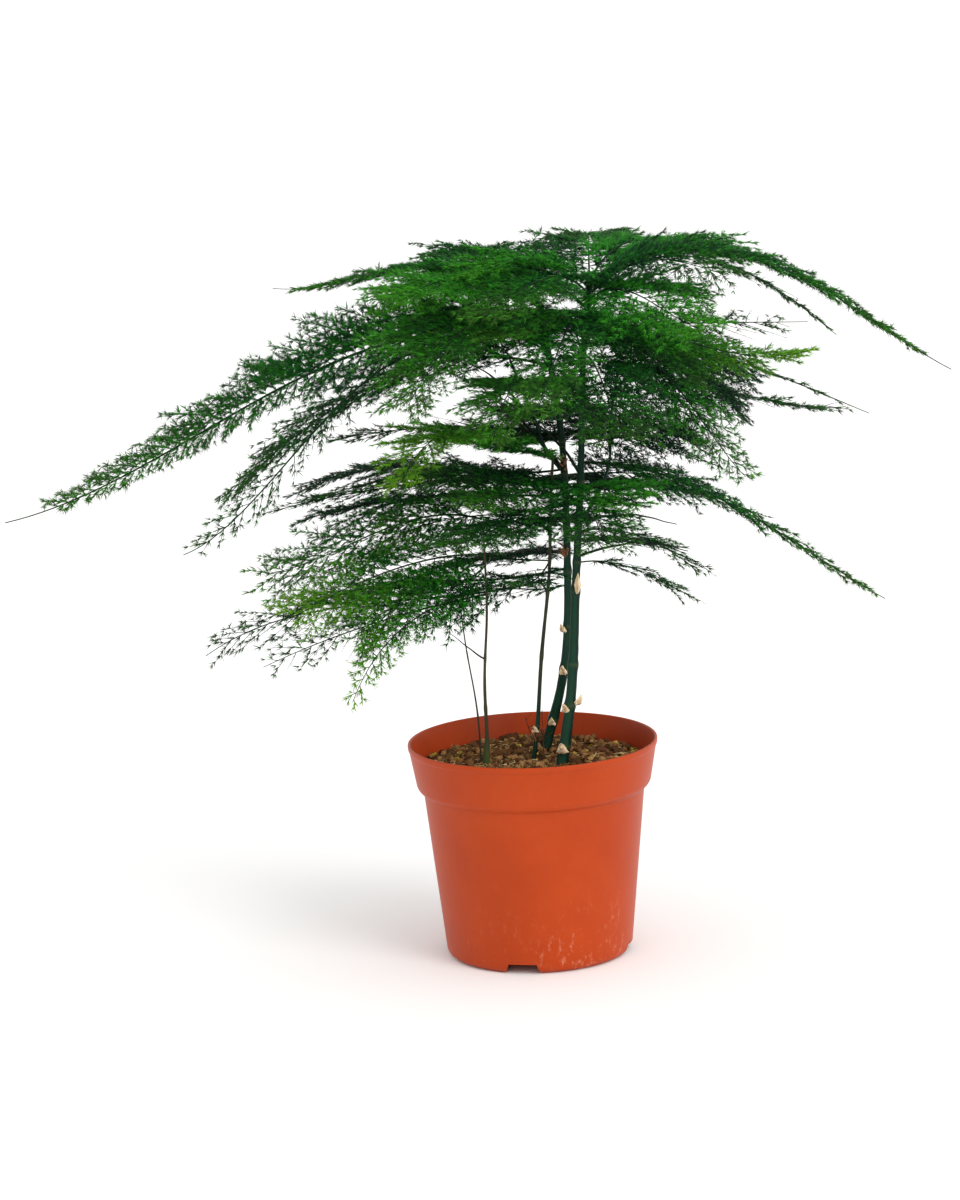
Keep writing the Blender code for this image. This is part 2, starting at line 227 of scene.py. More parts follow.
def foliage_finish():
    """Leaf colour from painted light and shade, how young and how woody each needle or twig is."""
    finish = Finish("lace_foliage", roughness=0.5, specular=0.16)
    painted_light_level, youth, wood = finish.channels("growth")
    # The first channel is painted light: the ramp runs from a blue-green painted shade to a bright
    # painted sunlit green.
    green = finish.ramp(painted_light_level, [
        (0.0, rgb(3, 33, 30)), (0.35, rgb(0, 62, 24)), (0.65, rgb(8, 100, 22)),
        (1.0, rgb(50, 152, 26))])
    fresh = finish.blend(youth, green, rgb(138, 186, 24))
    bark = finish.blend(youth, rgb(14, 50, 24), rgb(70, 90, 40))
    finish.feed("Base Color", finish.blend(wood, fresh, bark))
    finish.feed("Roughness", wood * 0.4 + 0.5)
    return finish.material


def cane_finish():
    """Dark waxy green with a painted highlight, a paler green band down one side of every stem, and
    brown flecks.
    """
    finish = Finish("cane_bark", roughness=0.45, specular=0.12)
    painted_highlight, scar, brown = finish.channels("growth")
    streaks = finish.speckle(90.0, 3.0, 0.6, finish.stretched(1.0, 1.0, 0.12))
    green = finish.ramp(streaks, [
        (0.30, rgb(4, 20, 16)), (0.55, rgb(6, 32, 24)), (0.75, rgb(12, 46, 32))])
    # Painted highlight: the first channel lightens one side of every stem to a paler green.
    highlighted = finish.blend(painted_highlight * streaks.rise(0.2, 0.6), green, rgb(24, 62, 46))
    flecks = finish.speckle(1600.0, 2.0).rise(0.62, 0.70)
    marked = finish.blend((scar.most(flecks * 0.4)).least(1.0), highlighted, rgb(66, 78, 42))
    dried = finish.ramp(streaks, [(0.3, rgb(36, 28, 20)), (0.7, rgb(88, 74, 52))])
    finish.feed("Base Color", finish.blend(brown, marked, dried))
    finish.feed("Roughness", streaks * 0.3 + 0.3)
    finish.bump(streaks + flecks, 0.00012)
    return finish.material


def dry_finish(name, dark, light):
    """Dead papery or twiggy tissue: fine lengthwise fibres between two browns."""
    finish = Finish(name, roughness=0.85, specular=0.2)
    fibres = finish.speckle(1500.0, 3.0, 0.6, finish.stretched(1.0, 1.0, 0.15))
    _, heart, _ = finish.channels("growth")
    paper = finish.ramp(fibres, [(0.25, dark), (0.6, light)])
    finish.feed("Base Color", finish.blend(heart, paper, rgb(88, 54, 34)))
    finish.bump(fibres, 0.00008)
    return finish.material


def pot_finish():
    """Satin terracotta plastic: faint flow marks, scuffs, and dust that gathers near the foot."""
    finish = Finish("terracotta_plastic", roughness=0.45, specular=0.20)
    x, y, z = finish.split(finish.place())
    cloud = finish.speckle(22.0, 4.0, 0.6)
    base = finish.ramp(cloud, [(0.3, rgb(166, 55, 7)), (0.7, rgb(178, 63, 11))])
    scuffs = finish.speckle(300.0, 6.0, 0.75, finish.stretched(1.0, 1.0, 0.55))
    low = 1 - z.rise(0.002, 0.045)
    side = (x * 0.8 - y).rise(0.020, 0.060)
    patch = finish.speckle(48.0, 3.0, 0.6).rise(0.40, 0.64)
    dust = scuffs.rise(0.52, 0.72) * patch * (low * (side * 0.50 + 0.12) + 0.02)
    grains = finish.speckle(1300.0, 2.0, 0.5).rise(0.72, 0.78) * (low * 0.4 + 0.12)
    dusted = finish.blend((dust + grains).least(0.8), base, rgb(232, 176, 146))
    finish.feed("Base Color", dusted)
    finish.feed("Roughness", (dust + grains) * 0.35 + cloud * 0.14 + 0.36)
    finish.bump(cloud * 0.6 + scuffs * 0.10, 0.0004, 0.5)
    return finish.material


def peat_finish():
    """Dark peat with paler fibre and a dusting of dry crumbs."""
    finish = Finish("peat", roughness=0.95, specular=0.2)
    crumbs = finish.speckle(420.0, 8.0, 0.75)
    colour = finish.ramp(crumbs, [
        (0.28, rgb(34, 21, 11)), (0.48, rgb(92, 60, 32)), (0.60, rgb(144, 104, 60)),
        (0.75, rgb(180, 142, 94))])
    finish.feed("Base Color", colour)
    finish.bump(crumbs, 0.0015)
    return finish.material


def crumb_finish(name, dark, middle, light):
    """Loose grains: each takes its own shade from its attribute, mottled by a fine grain."""
    finish = Finish(name, roughness=0.95, specular=0.15)
    shade, _, _ = finish.channels("growth")
    grain = finish.speckle(900.0, 4.0, 0.7)
    mixed = (shade * 0.75 + grain * 0.5).least(1.0)
    finish.feed("Base Color", finish.ramp(mixed, [(0.1, dark), (0.5, middle), (0.9, light)]))
    finish.bump(grain, 0.0003)
    return finish.material


def floor_finish():
    """Plain matt near white."""
    finish = Finish("pale_floor", roughness=0.9, specular=0.1)
    finish.shader.inputs["Base Color"].default_value = rgb(246, 246, 245)
    return finish.material


# ---------------------------------------------------------------- meshes from arrays


def mesh_piece(name, points, faces, finish, growth=None, smooth=True):
    """An object from an array of points and a list of index arrays, one per corner count."""
    mesh = bpy.data.meshes.new(name)
    corners = np.concatenate([group.ravel() for group in faces]).astype(np.int32)
    counts = np.concatenate([np.full(len(g), g.shape[1]) for g in faces]).astype(np.int32)
    starts = np.concatenate([[0], np.cumsum(counts)[:-1]]).astype(np.int32)
    mesh.vertices.add(len(points))
    mesh.vertices.foreach_set("co", np.ascontiguousarray(points, np.float32).ravel())
    mesh.loops.add(len(corners))
    mesh.loops.foreach_set("vertex_index", corners)
    mesh.polygons.add(len(counts))
    mesh.polygons.foreach_set("loop_start", starts)
    mesh.polygons.foreach_set("use_smooth", np.full(len(counts), smooth))
    if growth is not None:
        layer = mesh.attributes.new("growth", "FLOAT_COLOR", "POINT")
        rows = np.concatenate([growth, np.ones((len(growth), 1))], axis=1)
        layer.data.foreach_set("color", rows.astype(np.float32).ravel())
    mesh.update(calc_edges=True)
    mesh.validate()
    mesh.materials.append(finish)
    made = bpy.data.objects.new(name, mesh)
    bpy.context.scene.collection.objects.link(made)
    return made


def stands_for(piece, slot, *nodes):
    """Put a piece on the body in place of the solids that it stands for, which it hides. slot is
    not used.
    """
    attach(piece, "root")
    if nodes:
        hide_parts(*nodes)
    return piece


def unit(vectors):
    """The same directions, each one long."""
    return vectors / np.maximum(np.linalg.norm(vectors, axis=-1, keepdims=True), 1e-12)


def lumps(points, size, seed):
    """Smooth noise from -1 to 1: random numbers on a cubic lattice of that size, blended."""
    lattice = 64
    table = np.random.default_rng(seed).uniform(-1, 1, (lattice,) * 3)
    cell = np.floor(points / size).astype(int)
    share = points / size - cell
    share = share * share * (3 - 2 * share)
    total = np.zeros(points.shape[:-1])
    for corner in np.ndindex(2, 2, 2):
        weight = np.prod(np.where(corner, share, 1 - share), axis=-1)
        i, j, k = np.moveaxis((cell + corner) % lattice, -1, 0)
        total += weight * table[i, j, k]
    return total


def tubes(paths, radii, sides):
    """Round tubes along many paths at once, closed at both ends.

    paths holds n paths of k points and radii their n by k radii. Each point gets a ring of
    its radius, square to the path's direction there. Returns points and faces.
    """
    n, k, _ = paths.shape
    ahead = unit(np.gradient(paths, axis=1))
    across = np.eye(3)[np.abs(ahead.mean(axis=1)).argmin(axis=1)][:, None]
    first = unit(np.cross(ahead, across))
    second = np.cross(ahead, first)
    angles = TURN * np.arange(sides) / sides
    ring = (first[:, :, None] * np.cos(angles)[:, None]
            + second[:, :, None] * np.sin(angles)[:, None])
    points = paths[:, :, None] + radii[:, :, None, None] * ring
    index = np.arange(n * k * sides).reshape(n, k, sides)
    beside = np.roll(index, -1, axis=2)
    quads = np.stack([index[:, :-1], beside[:, :-1], beside[:, 1:], index[:, 1:]], axis=-1)
    caps = np.concatenate([index[:, 0, ::-1], index[:, -1]])
    return points.reshape(-1, 3), [quads.reshape(-1, 4), caps]


def needles(bases, directions, lengths, widths, spin):
    """Many leaf needles, each a slim three-sided spike from a small base to a point."""
    n = len(bases)
    across = np.eye(3)[np.abs(directions).argmin(axis=1)]
    first = unit(np.cross(directions, across))
    second = np.cross(directions, first)
    angles = spin[:, None] + TURN * np.arange(3) / 3
    ring = first[:, None] * np.cos(angles)[..., None] + second[:, None] * np.sin(angles)[..., None]
    feet = bases[:, None] + ring * (widths / 2)[:, None, None]
    tips = bases + directions * lengths[:, None]
    points = np.concatenate([feet, tips[:, None]], axis=1).reshape(-1, 3)
    corner = 4 * np.arange(n)[:, None, None]
    shape = np.array([(0, 1, 3), (1, 2, 3), (2, 0, 3), (0, 2, 1)])
    return points, [(corner + shape).reshape(-1, 3)]


def joined(parts):
    """One set of points, faces and growth numbers from several."""
    points, faces, growth, start = [], [], [], 0
    for part_points, part_faces, part_growth in parts:
        points.append(part_points)
        faces += [group + start for group in part_faces]
        growth.append(part_growth)
        start += len(part_points)
    return np.concatenate(points), faces, np.concatenate(growth)


def node_points(node):
    """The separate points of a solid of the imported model."""
    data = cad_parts[node].data
    flat = np.empty(len(data.vertices) * 3, np.float32)
    data.vertices.foreach_get("co", flat)
    return np.unique(np.round(flat.reshape(-1, 3).astype(float), 7), axis=0)


# ---------------------------------------------------------------- stems read from the frame


class StemLine:
    """A near upright stem's midline and radius by height, fitted to its solid's points."""

    def __init__(self, node):
        points = node_points(node)
        z = points[:, 2]
        self.low, self.high = z.min(), z.max()
        degree = 7 if self.high - self.low > 0.06 else 2
        self.x, self.y = (np.polynomial.Polynomial.fit(z, points[:, i], degree) for i in (0, 1))
        off = np.hypot(points[:, 0] - self.x(z), points[:, 1] - self.y(z))
        self.radius = np.polynomial.Polynomial.fit(z, off, 2)

    def at(self, z):
        z = np.clip(z, self.low, self.high)
        return np.column_stack([self.x(z), self.y(z), z])


# ---------------------------------------------------------------- sprays of foliage

PINNA_SPACING = 0.0036  # along the rachis, counting both sides
PINNULE_SPACING = 0.0028
CLUSTER_SPACING = 0.0020
NEEDLES_PER_CLUSTER = 7
NEEDLE_LENGTH = 0.0058
NEEDLE_WIDTH = 0.00046
CONE = (10, 50)  # degrees between a needle and its twig
GLINT_SHARE = 0.08  # of the needles, those that catch the light
HANGING_SHARE = 0.08  # of the side twigs, those that hang, at a hang of 1
ARCHING_CROWD = 1.45  # an arching spray has this many times the side twigs
RACHIS_RADIUS = 0.00066  # at the foot of a spray 150 mm long
TWIG_RADIUS = 0.00026
SHOOT_WIDTH = 0.00032
TWIG_STEPS = 7
RACHIS_STEPS = 48
STEM_AXIS = np.array([0.015, 0.003])  # where the canes stand, in plan

# How wide a spray is along its length: places from foot to tip, and the share of its reach.
OUTLINES = {
    "all": ([0.0, 0.12, 0.32, 0.6, 0.85, 1.0], [0.5, 0.85, 1.0, 0.84, 0.5, 0.16]),
    "arching": ([0.0, 0.1, 0.3, 0.6, 0.85, 1.0], [0.6, 1.0, 0.95, 0.52, 0.22, 0.08]),
    "trailing": ([0.0, 0.1, 0.3, 0.6, 0.85, 1.0], [0.6, 1.0, 0.95, 0.60, 0.34, 0.08]),
    "bare": ([0.0, 0.1, 0.3, 0.6, 0.85, 1.0], [0.6, 1.0, 0.95, 0.6, 0.28, 0.10]),
}

# Each look: fullness, hang of the side twigs, painted light (how lit its needles are painted:
# sunlit is painted sunlight, shade is painted shade), youth at the tips, bare share at the foot and
# bare share at the tip.
LOOKS = {
    "lush": (1.00, 0.7, 0.52, 0.12, 0.04, 0.00),
    "sunlit": (1.00, 0.7, 0.82, 0.10, 0.04, 0.00),
    "bright": (1.05, 0.7, 0.70, 0.38, 0.06, 0.00),
    "middle": (0.90, 0.8, 0.36, 0.08, 0.06, 0.02),
    "shade": (0.80, 0.9, 0.09, 0.02, 0.08, 0.02),
    "airy": (0.42, 1.2, 0.25, 0.08, 0.08, 0.05),
    "arching": (1.50, 0.8, 0.45, 0.12, 0.03, 0.09),
    "trailing": (1.00, 1.0, 0.40, 0.14, 0.04, 0.04),
    "bare": (0.26, 1.0, 0.20, 0.10, 0.12, 0.12),
}

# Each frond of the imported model: its look, its spread over its solid's width, how far its plane
# leans (degrees, back side up), and how full its front side is beside its back side.
FROND_LOOKS = {
    "top_right_long": ("arching", 1.35, 6, 0.8), "top_right_low": ("airy", 1.3, 10, 1.0),
    "top_back_right": ("sunlit", 1.85, 0, 1.0), "top_back_left": ("middle", 1.75, 0, 1.0),
    "top_back": ("middle", 1.75, 0, 1.0), "top_left": ("arching", 1.6, 5, 1.0),
    "left_long": ("arching", 1.7, 42, 0.5), "left_second": ("airy", 1.3, 25, 0.7),
    "left_third": ("middle", 1.6, 10, 1.0), "front_left": ("lush", 1.7, 0, 1.0),
    "front_mid_left": ("lush", 1.6, 0, 1.0), "front_mid": ("lush", 1.1, 0, 1.0),
    "front_mid_right": ("middle", 1.8, 0, 1.0), "front_right": ("lush", 1.4, 12, 1.0),
    "front_top_left": ("sunlit", 1.8, 10, 1.0), "right_bright": ("bright", 1.6, 10, 1.0),
    "right_bare": ("bare", 1.3, 0, 1.0), "right_dark": ("bare", 1.6, 20, 1.0),
    "right_sparse": ("airy", 1.5, 0, 1.0), "right_back_low": ("shade", 1.6, 35, 1.0),
    "right_back_high": ("shade", 1.7, 30, 1.0), "mid_left_bright": ("bright", 1.7, 0, 1.0),
    "mid_left_back": ("shade", 1.6, 0, 1.0), "mid_left_back_low": ("shade", 1.6, 0, 1.0),
    "mid_back_right": ("shade", 1.3, 30, 1.0), "mid_back": ("shade", 1.8, 0, 1.0),
    "mid_front_left": ("middle", 1.7, 0, 1.0), "mid_front_right": ("middle", 1.7, 0, 1.0),
    "mid_right_long": ("trailing", 1.6, 0, 1.0), "mid_right": ("airy", 1.6, 0, 1.0),
    "mid_right_back": ("airy", 1.6, 0, 1.0), "low_left": ("lush", 1.7, 28, 1.0),
    "low_left_front": ("bright", 1.6, 24, 1.0), "low_left_long": ("airy", 1.6, 25, 1.0),
    "low_hanging": ("bright", 0.8, 25, 1.0), "low_left_back": ("airy", 1.5, 0, 1.0),
    "low_right": ("airy", 1.6, 0, 1.0), "low_back_left": ("shade", 1.7, 0, 1.0),
    "low_back_right": ("airy", 1.6, 0, 1.0), "low_front": ("airy", 1.0, 0, 1.0),
}

# Smaller sprays between the main ones: stem, height above the soil, heading, length, slopes at
# foot, middle and tip, reach to each side, look and lean.
SMALL_SPRAYS = {
    "crown_left": ("cane_b", 0.236, -133, 0.111, (40, 6, -9), 0.030, "sunlit", 10),
    "crown_front": ("cane_a", 0.243, -119, 0.115, (40, -5, -10), 0.030, "lush", 0),
    "crown_right": ("cane_a", 0.240, -59, 0.103, (35, -12, -5), 0.028, "sunlit", 18),
    "crown_top_left": ("cane_a", 0.246, -150, 0.075, (50, 10, -20), 0.026, "sunlit", 0),
    "crown_top_right": ("cane_a", 0.247, -32, 0.085, (50, 0, -15), 0.026, "middle", 25),
    "crown_far_left": ("cane_a", 0.236, -152, 0.114, (50, 0, -5), 0.028, "sunlit", 15),
    "crown_back_right": ("cane_a", 0.236, 53, 0.098, (29, -7, -16), 0.028, "middle", 0),
    "crown_back_left": ("cane_b", 0.238, 120, 0.095, (35, 5, -15), 0.030, "middle", 0),
    "shoulder_left": ("cane_b", 0.213, -132, 0.126, (43, 4, -12), 0.030, "sunlit", 10),
    "shoulder_front": ("cane_a", 0.222, -118, 0.105, (50, 0, -5), 0.026, "lush", 0),
    "shoulder_right": ("cane_a", 0.215, -43, 0.085, (36, -12, -28), 0.024, "middle", 0),
    "shoulder_back": ("cane_a", 0.210, 95, 0.100, (30, 0, -20), 0.030, "shade", 0),
    "shoulder_back_left": ("cane_b", 0.212, 147, 0.097, (37, 0, -13), 0.028, "shade", 0),
    "mid_layer_left": ("cane_b", 0.149, -143, 0.103, (-4, 10, -12), 0.026, "middle", 10),
    "mid_layer_front": ("cane_a", 0.146, -126, 0.096, (7, 2, -1), 0.026, "lush", 5),
    "mid_layer_right": ("cane_a", 0.145, -68, 0.073, (7, 0, -7), 0.022, "sunlit", 10),
    "mid_right_high": ("cane_a", 0.165, 12, 0.060, (15, 0, -10), 0.026, "shade", 25),
    "mid_right_back_high": ("cane_a", 0.170, 35, 0.075, (5, -5, -20), 0.026, "shade", 25),
    "mid_left_high": ("cane_b", 0.170, 176, 0.120, (10, 0, -10), 0.024, "airy", 0),
    "stem_back_top": ("cane_b", 0.180, 95, 0.070, (0, -5, -10), 0.030, "shade", 0),
    "mid_back_band": ("cane_b", 0.167, 136, 0.070, (-11, 4, -19), 0.026, "shade", 0),
    "stem_back_high": ("cane_b", 0.165, 80, 0.074, (-4, -2, -10), 0.030, "shade", 0),
    "stem_back_mid": ("cane_b", 0.139, 84, 0.070, (13, -5, -10), 0.030, "shade", 0),
    "stem_back_low": ("cane_b", 0.121, 94, 0.060, (2, -4, -15), 0.024, "shade", 0),
    "low_layer_left": ("cane_c", 0.126, -158, 0.093, (20, -1, -8), 0.026, "lush", 28),
    "low_layer_mid": ("cane_c", 0.105, 167, 0.070, (1, -3, -29), 0.022, "airy", 0),
    "low_layer_back": ("cane_b", 0.091, 154, 0.070, (-20, -1, -32), 0.014, "airy", 0),
    "low_patch": ("wiry_stem_e", 0.106, -142, 0.091, (-34, -5, -42), 0.029, "lush", 38),
    "low_far_left": ("wiry_stem_e", 0.091, -159, 0.125, (-5, -11, -19), 0.020, "airy", 30),
    "right_mass_high": ("cane_a", 0.208, 28, 0.088, (10, -5, -25), 0.034, "shade", 42),
    "right_mass_mid": ("cane_a", 0.196, 8, 0.080, (8, -6, -22), 0.030, "shade", 38),
    "right_mass_low": ("cane_a", 0.186, 34, 0.082, (0, -8, -28), 0.034, "shade", 45),
    "mid_left_dark": ("cane_c", 0.139, 169, 0.137, (33, -6, -13), 0.022, "airy", 0),
    "mid_left_low_dark": ("cane_b", 0.146, -179, 0.158, (5, -4, -14), 0.020, "airy", 0),
}


class Rachis:
    """The midline of a spray: points along it, shares of its length, and its level side."""

    def __init__(self, line, half_width=0.0):
        steps = np.linalg.norm(np.diff(line, axis=0), axis=1)
        gone = np.concatenate([[0.0], np.cumsum(steps)])
        self.line, self.half_width = line, half_width
        self.length = gone[-1]
        self.share = gone / self.length
        plan = unit(line[-1, :2] - line[0, :2])
        backward = 1.0 if plan[0] > 0 else -1.0
        self.side = np.array([-plan[1] * backward, plan[0] * backward, 0.0])

    def at(self, t):
        return np.stack([np.interp(t, self.share, self.line[:, i]) for i in range(3)], axis=-1)

    def ahead(self, t):
        return unit(self.at(np.minimum(t + 0.01, 1.0)) - self.at(np.maximum(t - 0.01, 0.0)))


def solid_rachis(node, samples=240):
    """The midline of a frond's solid, read back from its points.

    The solid is long and narrow, so its plan's long axis is the frond's heading, and a
    polynomial through its heights along that axis is the arch.
    """
    points = node_points(node)
    centre = points[:, :2].mean(axis=0)
    _, axes = np.linalg.eigh(np.cov((points[:, :2] - centre).T))
    along = axes[:, 1]
    reach = (points[:, :2] - centre) @ along
    ends = points[[reach.argmin(), reach.argmax()], :2]
    away = np.linalg.norm(ends - STEM_AXIS, axis=1)
    if away[0] > away[1]:
        along, reach = -along, -reach
    beside = np.array([-along[1], along[0]])
    arch = np.polynomial.Polynomial.fit(reach, points[:, 2], 5)
    run = np.linspace(reach.min(), reach.max(), samples)
    line = np.column_stack([centre + run[:, None] * along, arch(run)])
    return Rachis(line, np.abs((points[:, :2] - centre) @ beside).max())


def free_rachis(stem, height, heading, length, slopes, samples=120):
    """A midline that leaves a stem: its slope is the parabola through the three given ones."""
    t = (np.arange(samples) + 0.5) / samples
    rise, middle, tip = slopes
    slope = np.radians(rise * (1 - t) * (1 - 2 * t) + 4 * middle * t * (1 - t)
                       + tip * t * (2 * t - 1))
    turn = math.radians(heading)
    steps = np.column_stack([np.cos(slope) * math.cos(turn), np.cos(slope) * math.sin(turn),
                             np.sin(slope)]) * length / samples
    foot = stem.at(np.array([SOIL_TOP + height]))
    return Rachis(np.concatenate([foot, foot + np.cumsum(steps, axis=0)]))


class Twigs:
    """Many side twigs at once: each starts straight, curves forward and sags outwards.

    A point a share v along a twig is its foot + length * (v * heading + v * v * curl), and
    it drops by sag times the square of the distance.
    """

    def __init__(self, feet, headings, lengths, curls, sags):
        self.feet, self.headings, self.lengths = feet, unit(headings), lengths
        self.curls, self.sags = curls, sags

    def at(self, v, pick=slice(None)):
        v = v[..., None]
        length = self.lengths[pick][(...,) + (None,) * (v.ndim - 1)]
        expand = (slice(None),) + (None,) * (v.ndim - 2)
        feet, heads, curls = (a[pick][expand] for a in (self.feet, self.headings, self.curls))
        drop = self.sags[pick][(...,) + (None,) * (v.ndim - 1)] * (length * v) ** 2
        return feet + length * (v * heads + v * v * curls) - drop * UP

    def ahead(self, v, pick=slice(None)):
        step = 0.02
        return unit(self.at(v + step, pick) - self.at(v - step, pick))


def repeated(counts):
    """For each item of every owner, the owner's number and the item's rank among its own."""
    owner = np.repeat(np.arange(len(counts)), counts)
    first = np.concatenate([[0], np.cumsum(counts)[:-1]])
    rank = np.arange(counts.sum()) - first[owner]
    return owner, rank


def grow_spray(name, rachis, look, reach, lean, front, seed, finish):
    """A flat spray: rachis, alternate side twigs, their own twigs, and clusters of needles.

    A share t along the rachis, a side twig leaves it at 66 - 26 t degrees and is reach *
    outline(t) / sin(angle) long. Its own twigs leave it at 38 to 62 degrees, and are 0.36 *
    its length * (1.05 - v) long a share v along it. The needles of a cluster point forward
    in a flattened cone. lean tips the spray's plane, and front shortens its front side.
    """
    fullness, hang, painted_light_level, young, bare_foot, bare_tip = LOOKS[look]
    rng = np.random.default_rng(seed)

    # side twigs, alternate along the rachis
    crowding = ARCHING_CROWD if look == "arching" else 1.0
    leafed = 1 - bare_foot - bare_tip
    count = int(rachis.length * leafed / PINNA_SPACING * crowding)
    t = bare_foot + leafed * (np.arange(count) + rng.uniform(0, 0.7, count)) / count
    hand = np.where(np.arange(count) % 2, 1.0, -1.0)
    ahead = rachis.ahead(t)
    normal = np.cross(ahead, rachis.side)
    normal *= np.sign(normal[:, 2:3] + 1e-9)
    tilt = math.radians(lean)
    side = rachis.side * math.cos(tilt) + normal * math.sin(tilt)
    normal = normal * math.cos(tilt) - rachis.side * math.sin(tilt)
    angle = np.radians(66 - 26 * t + rng.uniform(-9, 9, count))
    heading = (ahead * np.cos(angle)[:, None] + side * (hand * np.sin(angle))[:, None]
               + normal * rng.normal(0, 0.07, count)[:, None])
    outline = np.interp(t, *OUTLINES.get(look, OUTLINES["all"]))
    length = reach * outline * rng.uniform(0.72, 1.15, count) / np.sin(angle)
    length = length * np.where(hand < 0, front, 1.0)
    hanging = rng.uniform(0, 1, count) < HANGING_SHARE * hang
    sag = hang * np.where(hanging, 10.0, 1.5) * rng.uniform(0.6, 1.4, count)
    pinnae = Twigs(rachis.at(t), heading, length, ahead * 0.22, sag)

    # their own twigs, alternate again
    shoots = np.maximum((length / PINNULE_SPACING * (0.55 + 0.45 * fullness)).astype(int), 1)
    owner, rank = repeated(shoots)
    v = 0.03 + 0.95 * (rank + rng.uniform(0.1, 0.9, len(rank))) / shoots[owner]
    inner = pinnae.ahead(v, owner)
    across = unit(np.cross(normal[owner], inner))
    side = np.where(rank % 2, 1.0, -1.0)
    open_angle = np.radians(rng.uniform(38, 62, len(v)))
    head = (inner * np.cos(open_angle)[:, None] + across * (side * np.sin(open_angle))[:, None]
            + normal[owner] * rng.normal(0, 0.16, len(v))[:, None])
    shoot_length = np.clip(0.36 * length[owner] * (1.05 - v) * rng.uniform(0.7, 1.3, len(v)),
                           0.0022, 0.0125)
    pinnules = Twigs(pinnae.at(v, owner), head, shoot_length, inner * 0.12, 4.0 * np.ones(len(v)))

    # clusters of needles on both
    leafy = rng.uniform(0, 1, count) < 0.55 + 0.5 * fullness
    spots = []
    for twigs, start, keep in ((pinnae, 0.03, leafy), (pinnules, 0.10, leafy[owner])):
        spacing = CLUSTER_SPACING / max(fullness, 1.0)
        tufts = np.maximum((twigs.lengths * (1 - start) / spacing).astype(int), 1) * keep
        mine, place = repeated(tufts)
        w = start + (1 - start) * (place + rng.uniform(0.2, 0.9, len(place))) / tufts[mine]
        lift = normal[mine] if twigs is pinnae else normal[owner[mine]]
        spots.append((twigs.at(w, mine), twigs.ahead(w, mine), lift, w,
                      t[mine] if twigs is pinnae else t[owner[mine]],
                      np.full(len(w), twigs is pinnules)))
    foot, along, lift, outward, home, fine = (np.concatenate(a) for a in zip(*spots))
    keep = rng.uniform(0, 1, len(foot)) < 0.35 + 0.65 * fullness
    foot, along, lift, outward, home = (a[keep] for a in (foot, along, lift, outward, home))
    shade = rng.normal(0, 1, len(foot))

    mine = np.repeat(np.arange(len(foot)), NEEDLES_PER_CLUSTER - (look == "shade"))
    cone = np.radians(rng.uniform(*CONE, len(mine)))
    around = rng.uniform(0, TURN, len(mine))
    flat = unit(np.cross(lift, along))[mine]
    point = unit(along[mine] * np.cos(cone)[:, None]
                 + flat * (np.sin(cone) * np.cos(around))[:, None]
                 + lift[mine] * (0.62 * np.sin(cone) * np.sin(around))[:, None])
    size = NEEDLE_LENGTH * rng.uniform(0.6, 1.15, len(mine)) * (1 - 0.38 * outward[mine] ** 2)
    leaf_points, leaf_faces = needles(foot[mine], point, size,
                                      NEEDLE_WIDTH * rng.uniform(0.8, 1.2, len(mine)), around)
    # Painted light: needles that point up are painted lighter, and a share of them get a painted
    # highlight.
    painted_top_light = 0.16 * np.sin(cone) * np.sin(around)
    glint = 0.5 * (rng.uniform(0, 1, len(mine)) < GLINT_SHARE)
    light = painted_light_level + 0.14 * shade[mine] + painted_top_light + rng.normal(0, 0.12, len(mine)) + glint
    light = np.clip(light, 0, 1)
    fresh = np.clip(young * (home[mine] ** 2 * 1.4 + outward[mine] * 0.5 - 0.3), 0, 1)
    leaf_growth = np.repeat(np.column_stack([light, fresh, np.zeros(len(mine))]), 4, axis=0)

    # the woody lines
    steps = np.linspace(0, 1, TWIG_STEPS)
    rachis_steps = np.linspace(0, 1, RACHIS_STEPS)
    line = rachis.at(rachis_steps)[None]
    line[0, 0] -= rachis.ahead(np.zeros(1))[0] * 0.0008
    thick = RACHIS_RADIUS * (1 - 0.70 * rachis_steps)[None] * (rachis.length / 0.15) ** 0.5
    parts = [(leaf_points, leaf_faces, leaf_growth)]
    wood = [tubes(line, thick, 6),
            tubes(pinnae.at(np.broadcast_to(steps, (count, TWIG_STEPS))),
                  TWIG_RADIUS * (1 - 0.65 * steps)[None] * np.ones((count, 1)), 3)]
    ends = pinnules.at(np.ones((len(v), 1)))[:, 0]
    run = ends - pinnules.feet
    span = np.linalg.norm(run, axis=1)
    wood.append(needles(pinnules.feet, run / span[:, None], span,
                        np.full(len(v), SHOOT_WIDTH), np.zeros(len(v))))
    for points, faces in wood:
        tint = np.tile([0.2, young * 0.5, 1.0], (len(points), 1))
        parts.append((points, faces, tint))
    points, faces, growth = joined(parts)
    return mesh_piece("spray_" + name, points, faces, finish, growth)


def grow_all_sprays(finish):
    """One spray along each frond's solid, then the smaller ones that leave the stems."""
    for number, (name, (look, spread, lean, front)) in enumerate(FROND_LOOKS.items()):
        rachis = solid_rachis("frond_" + name)
        reach = rachis.half_width * spread
        piece = grow_spray(name, rachis, look, reach, lean, front, 1000 + number, finish)
        stands_for(piece, "foliage", "frond_" + name)
    stems = {name: StemLine(name) for name in {row[0] for row in SMALL_SPRAYS.values()}}
    for number, (name, row) in enumerate(SMALL_SPRAYS.items()):
        stem, height, heading, length, slopes, reach, look, lean = row
        rachis = free_rachis(stems[stem], height, heading, length, slopes)
        piece = grow_spray(name, rachis, look, reach, lean, 1.0, 2000 + number, finish)
        stands_for(piece, "foliage")


# ---------------------------------------------------------------- pot and soil

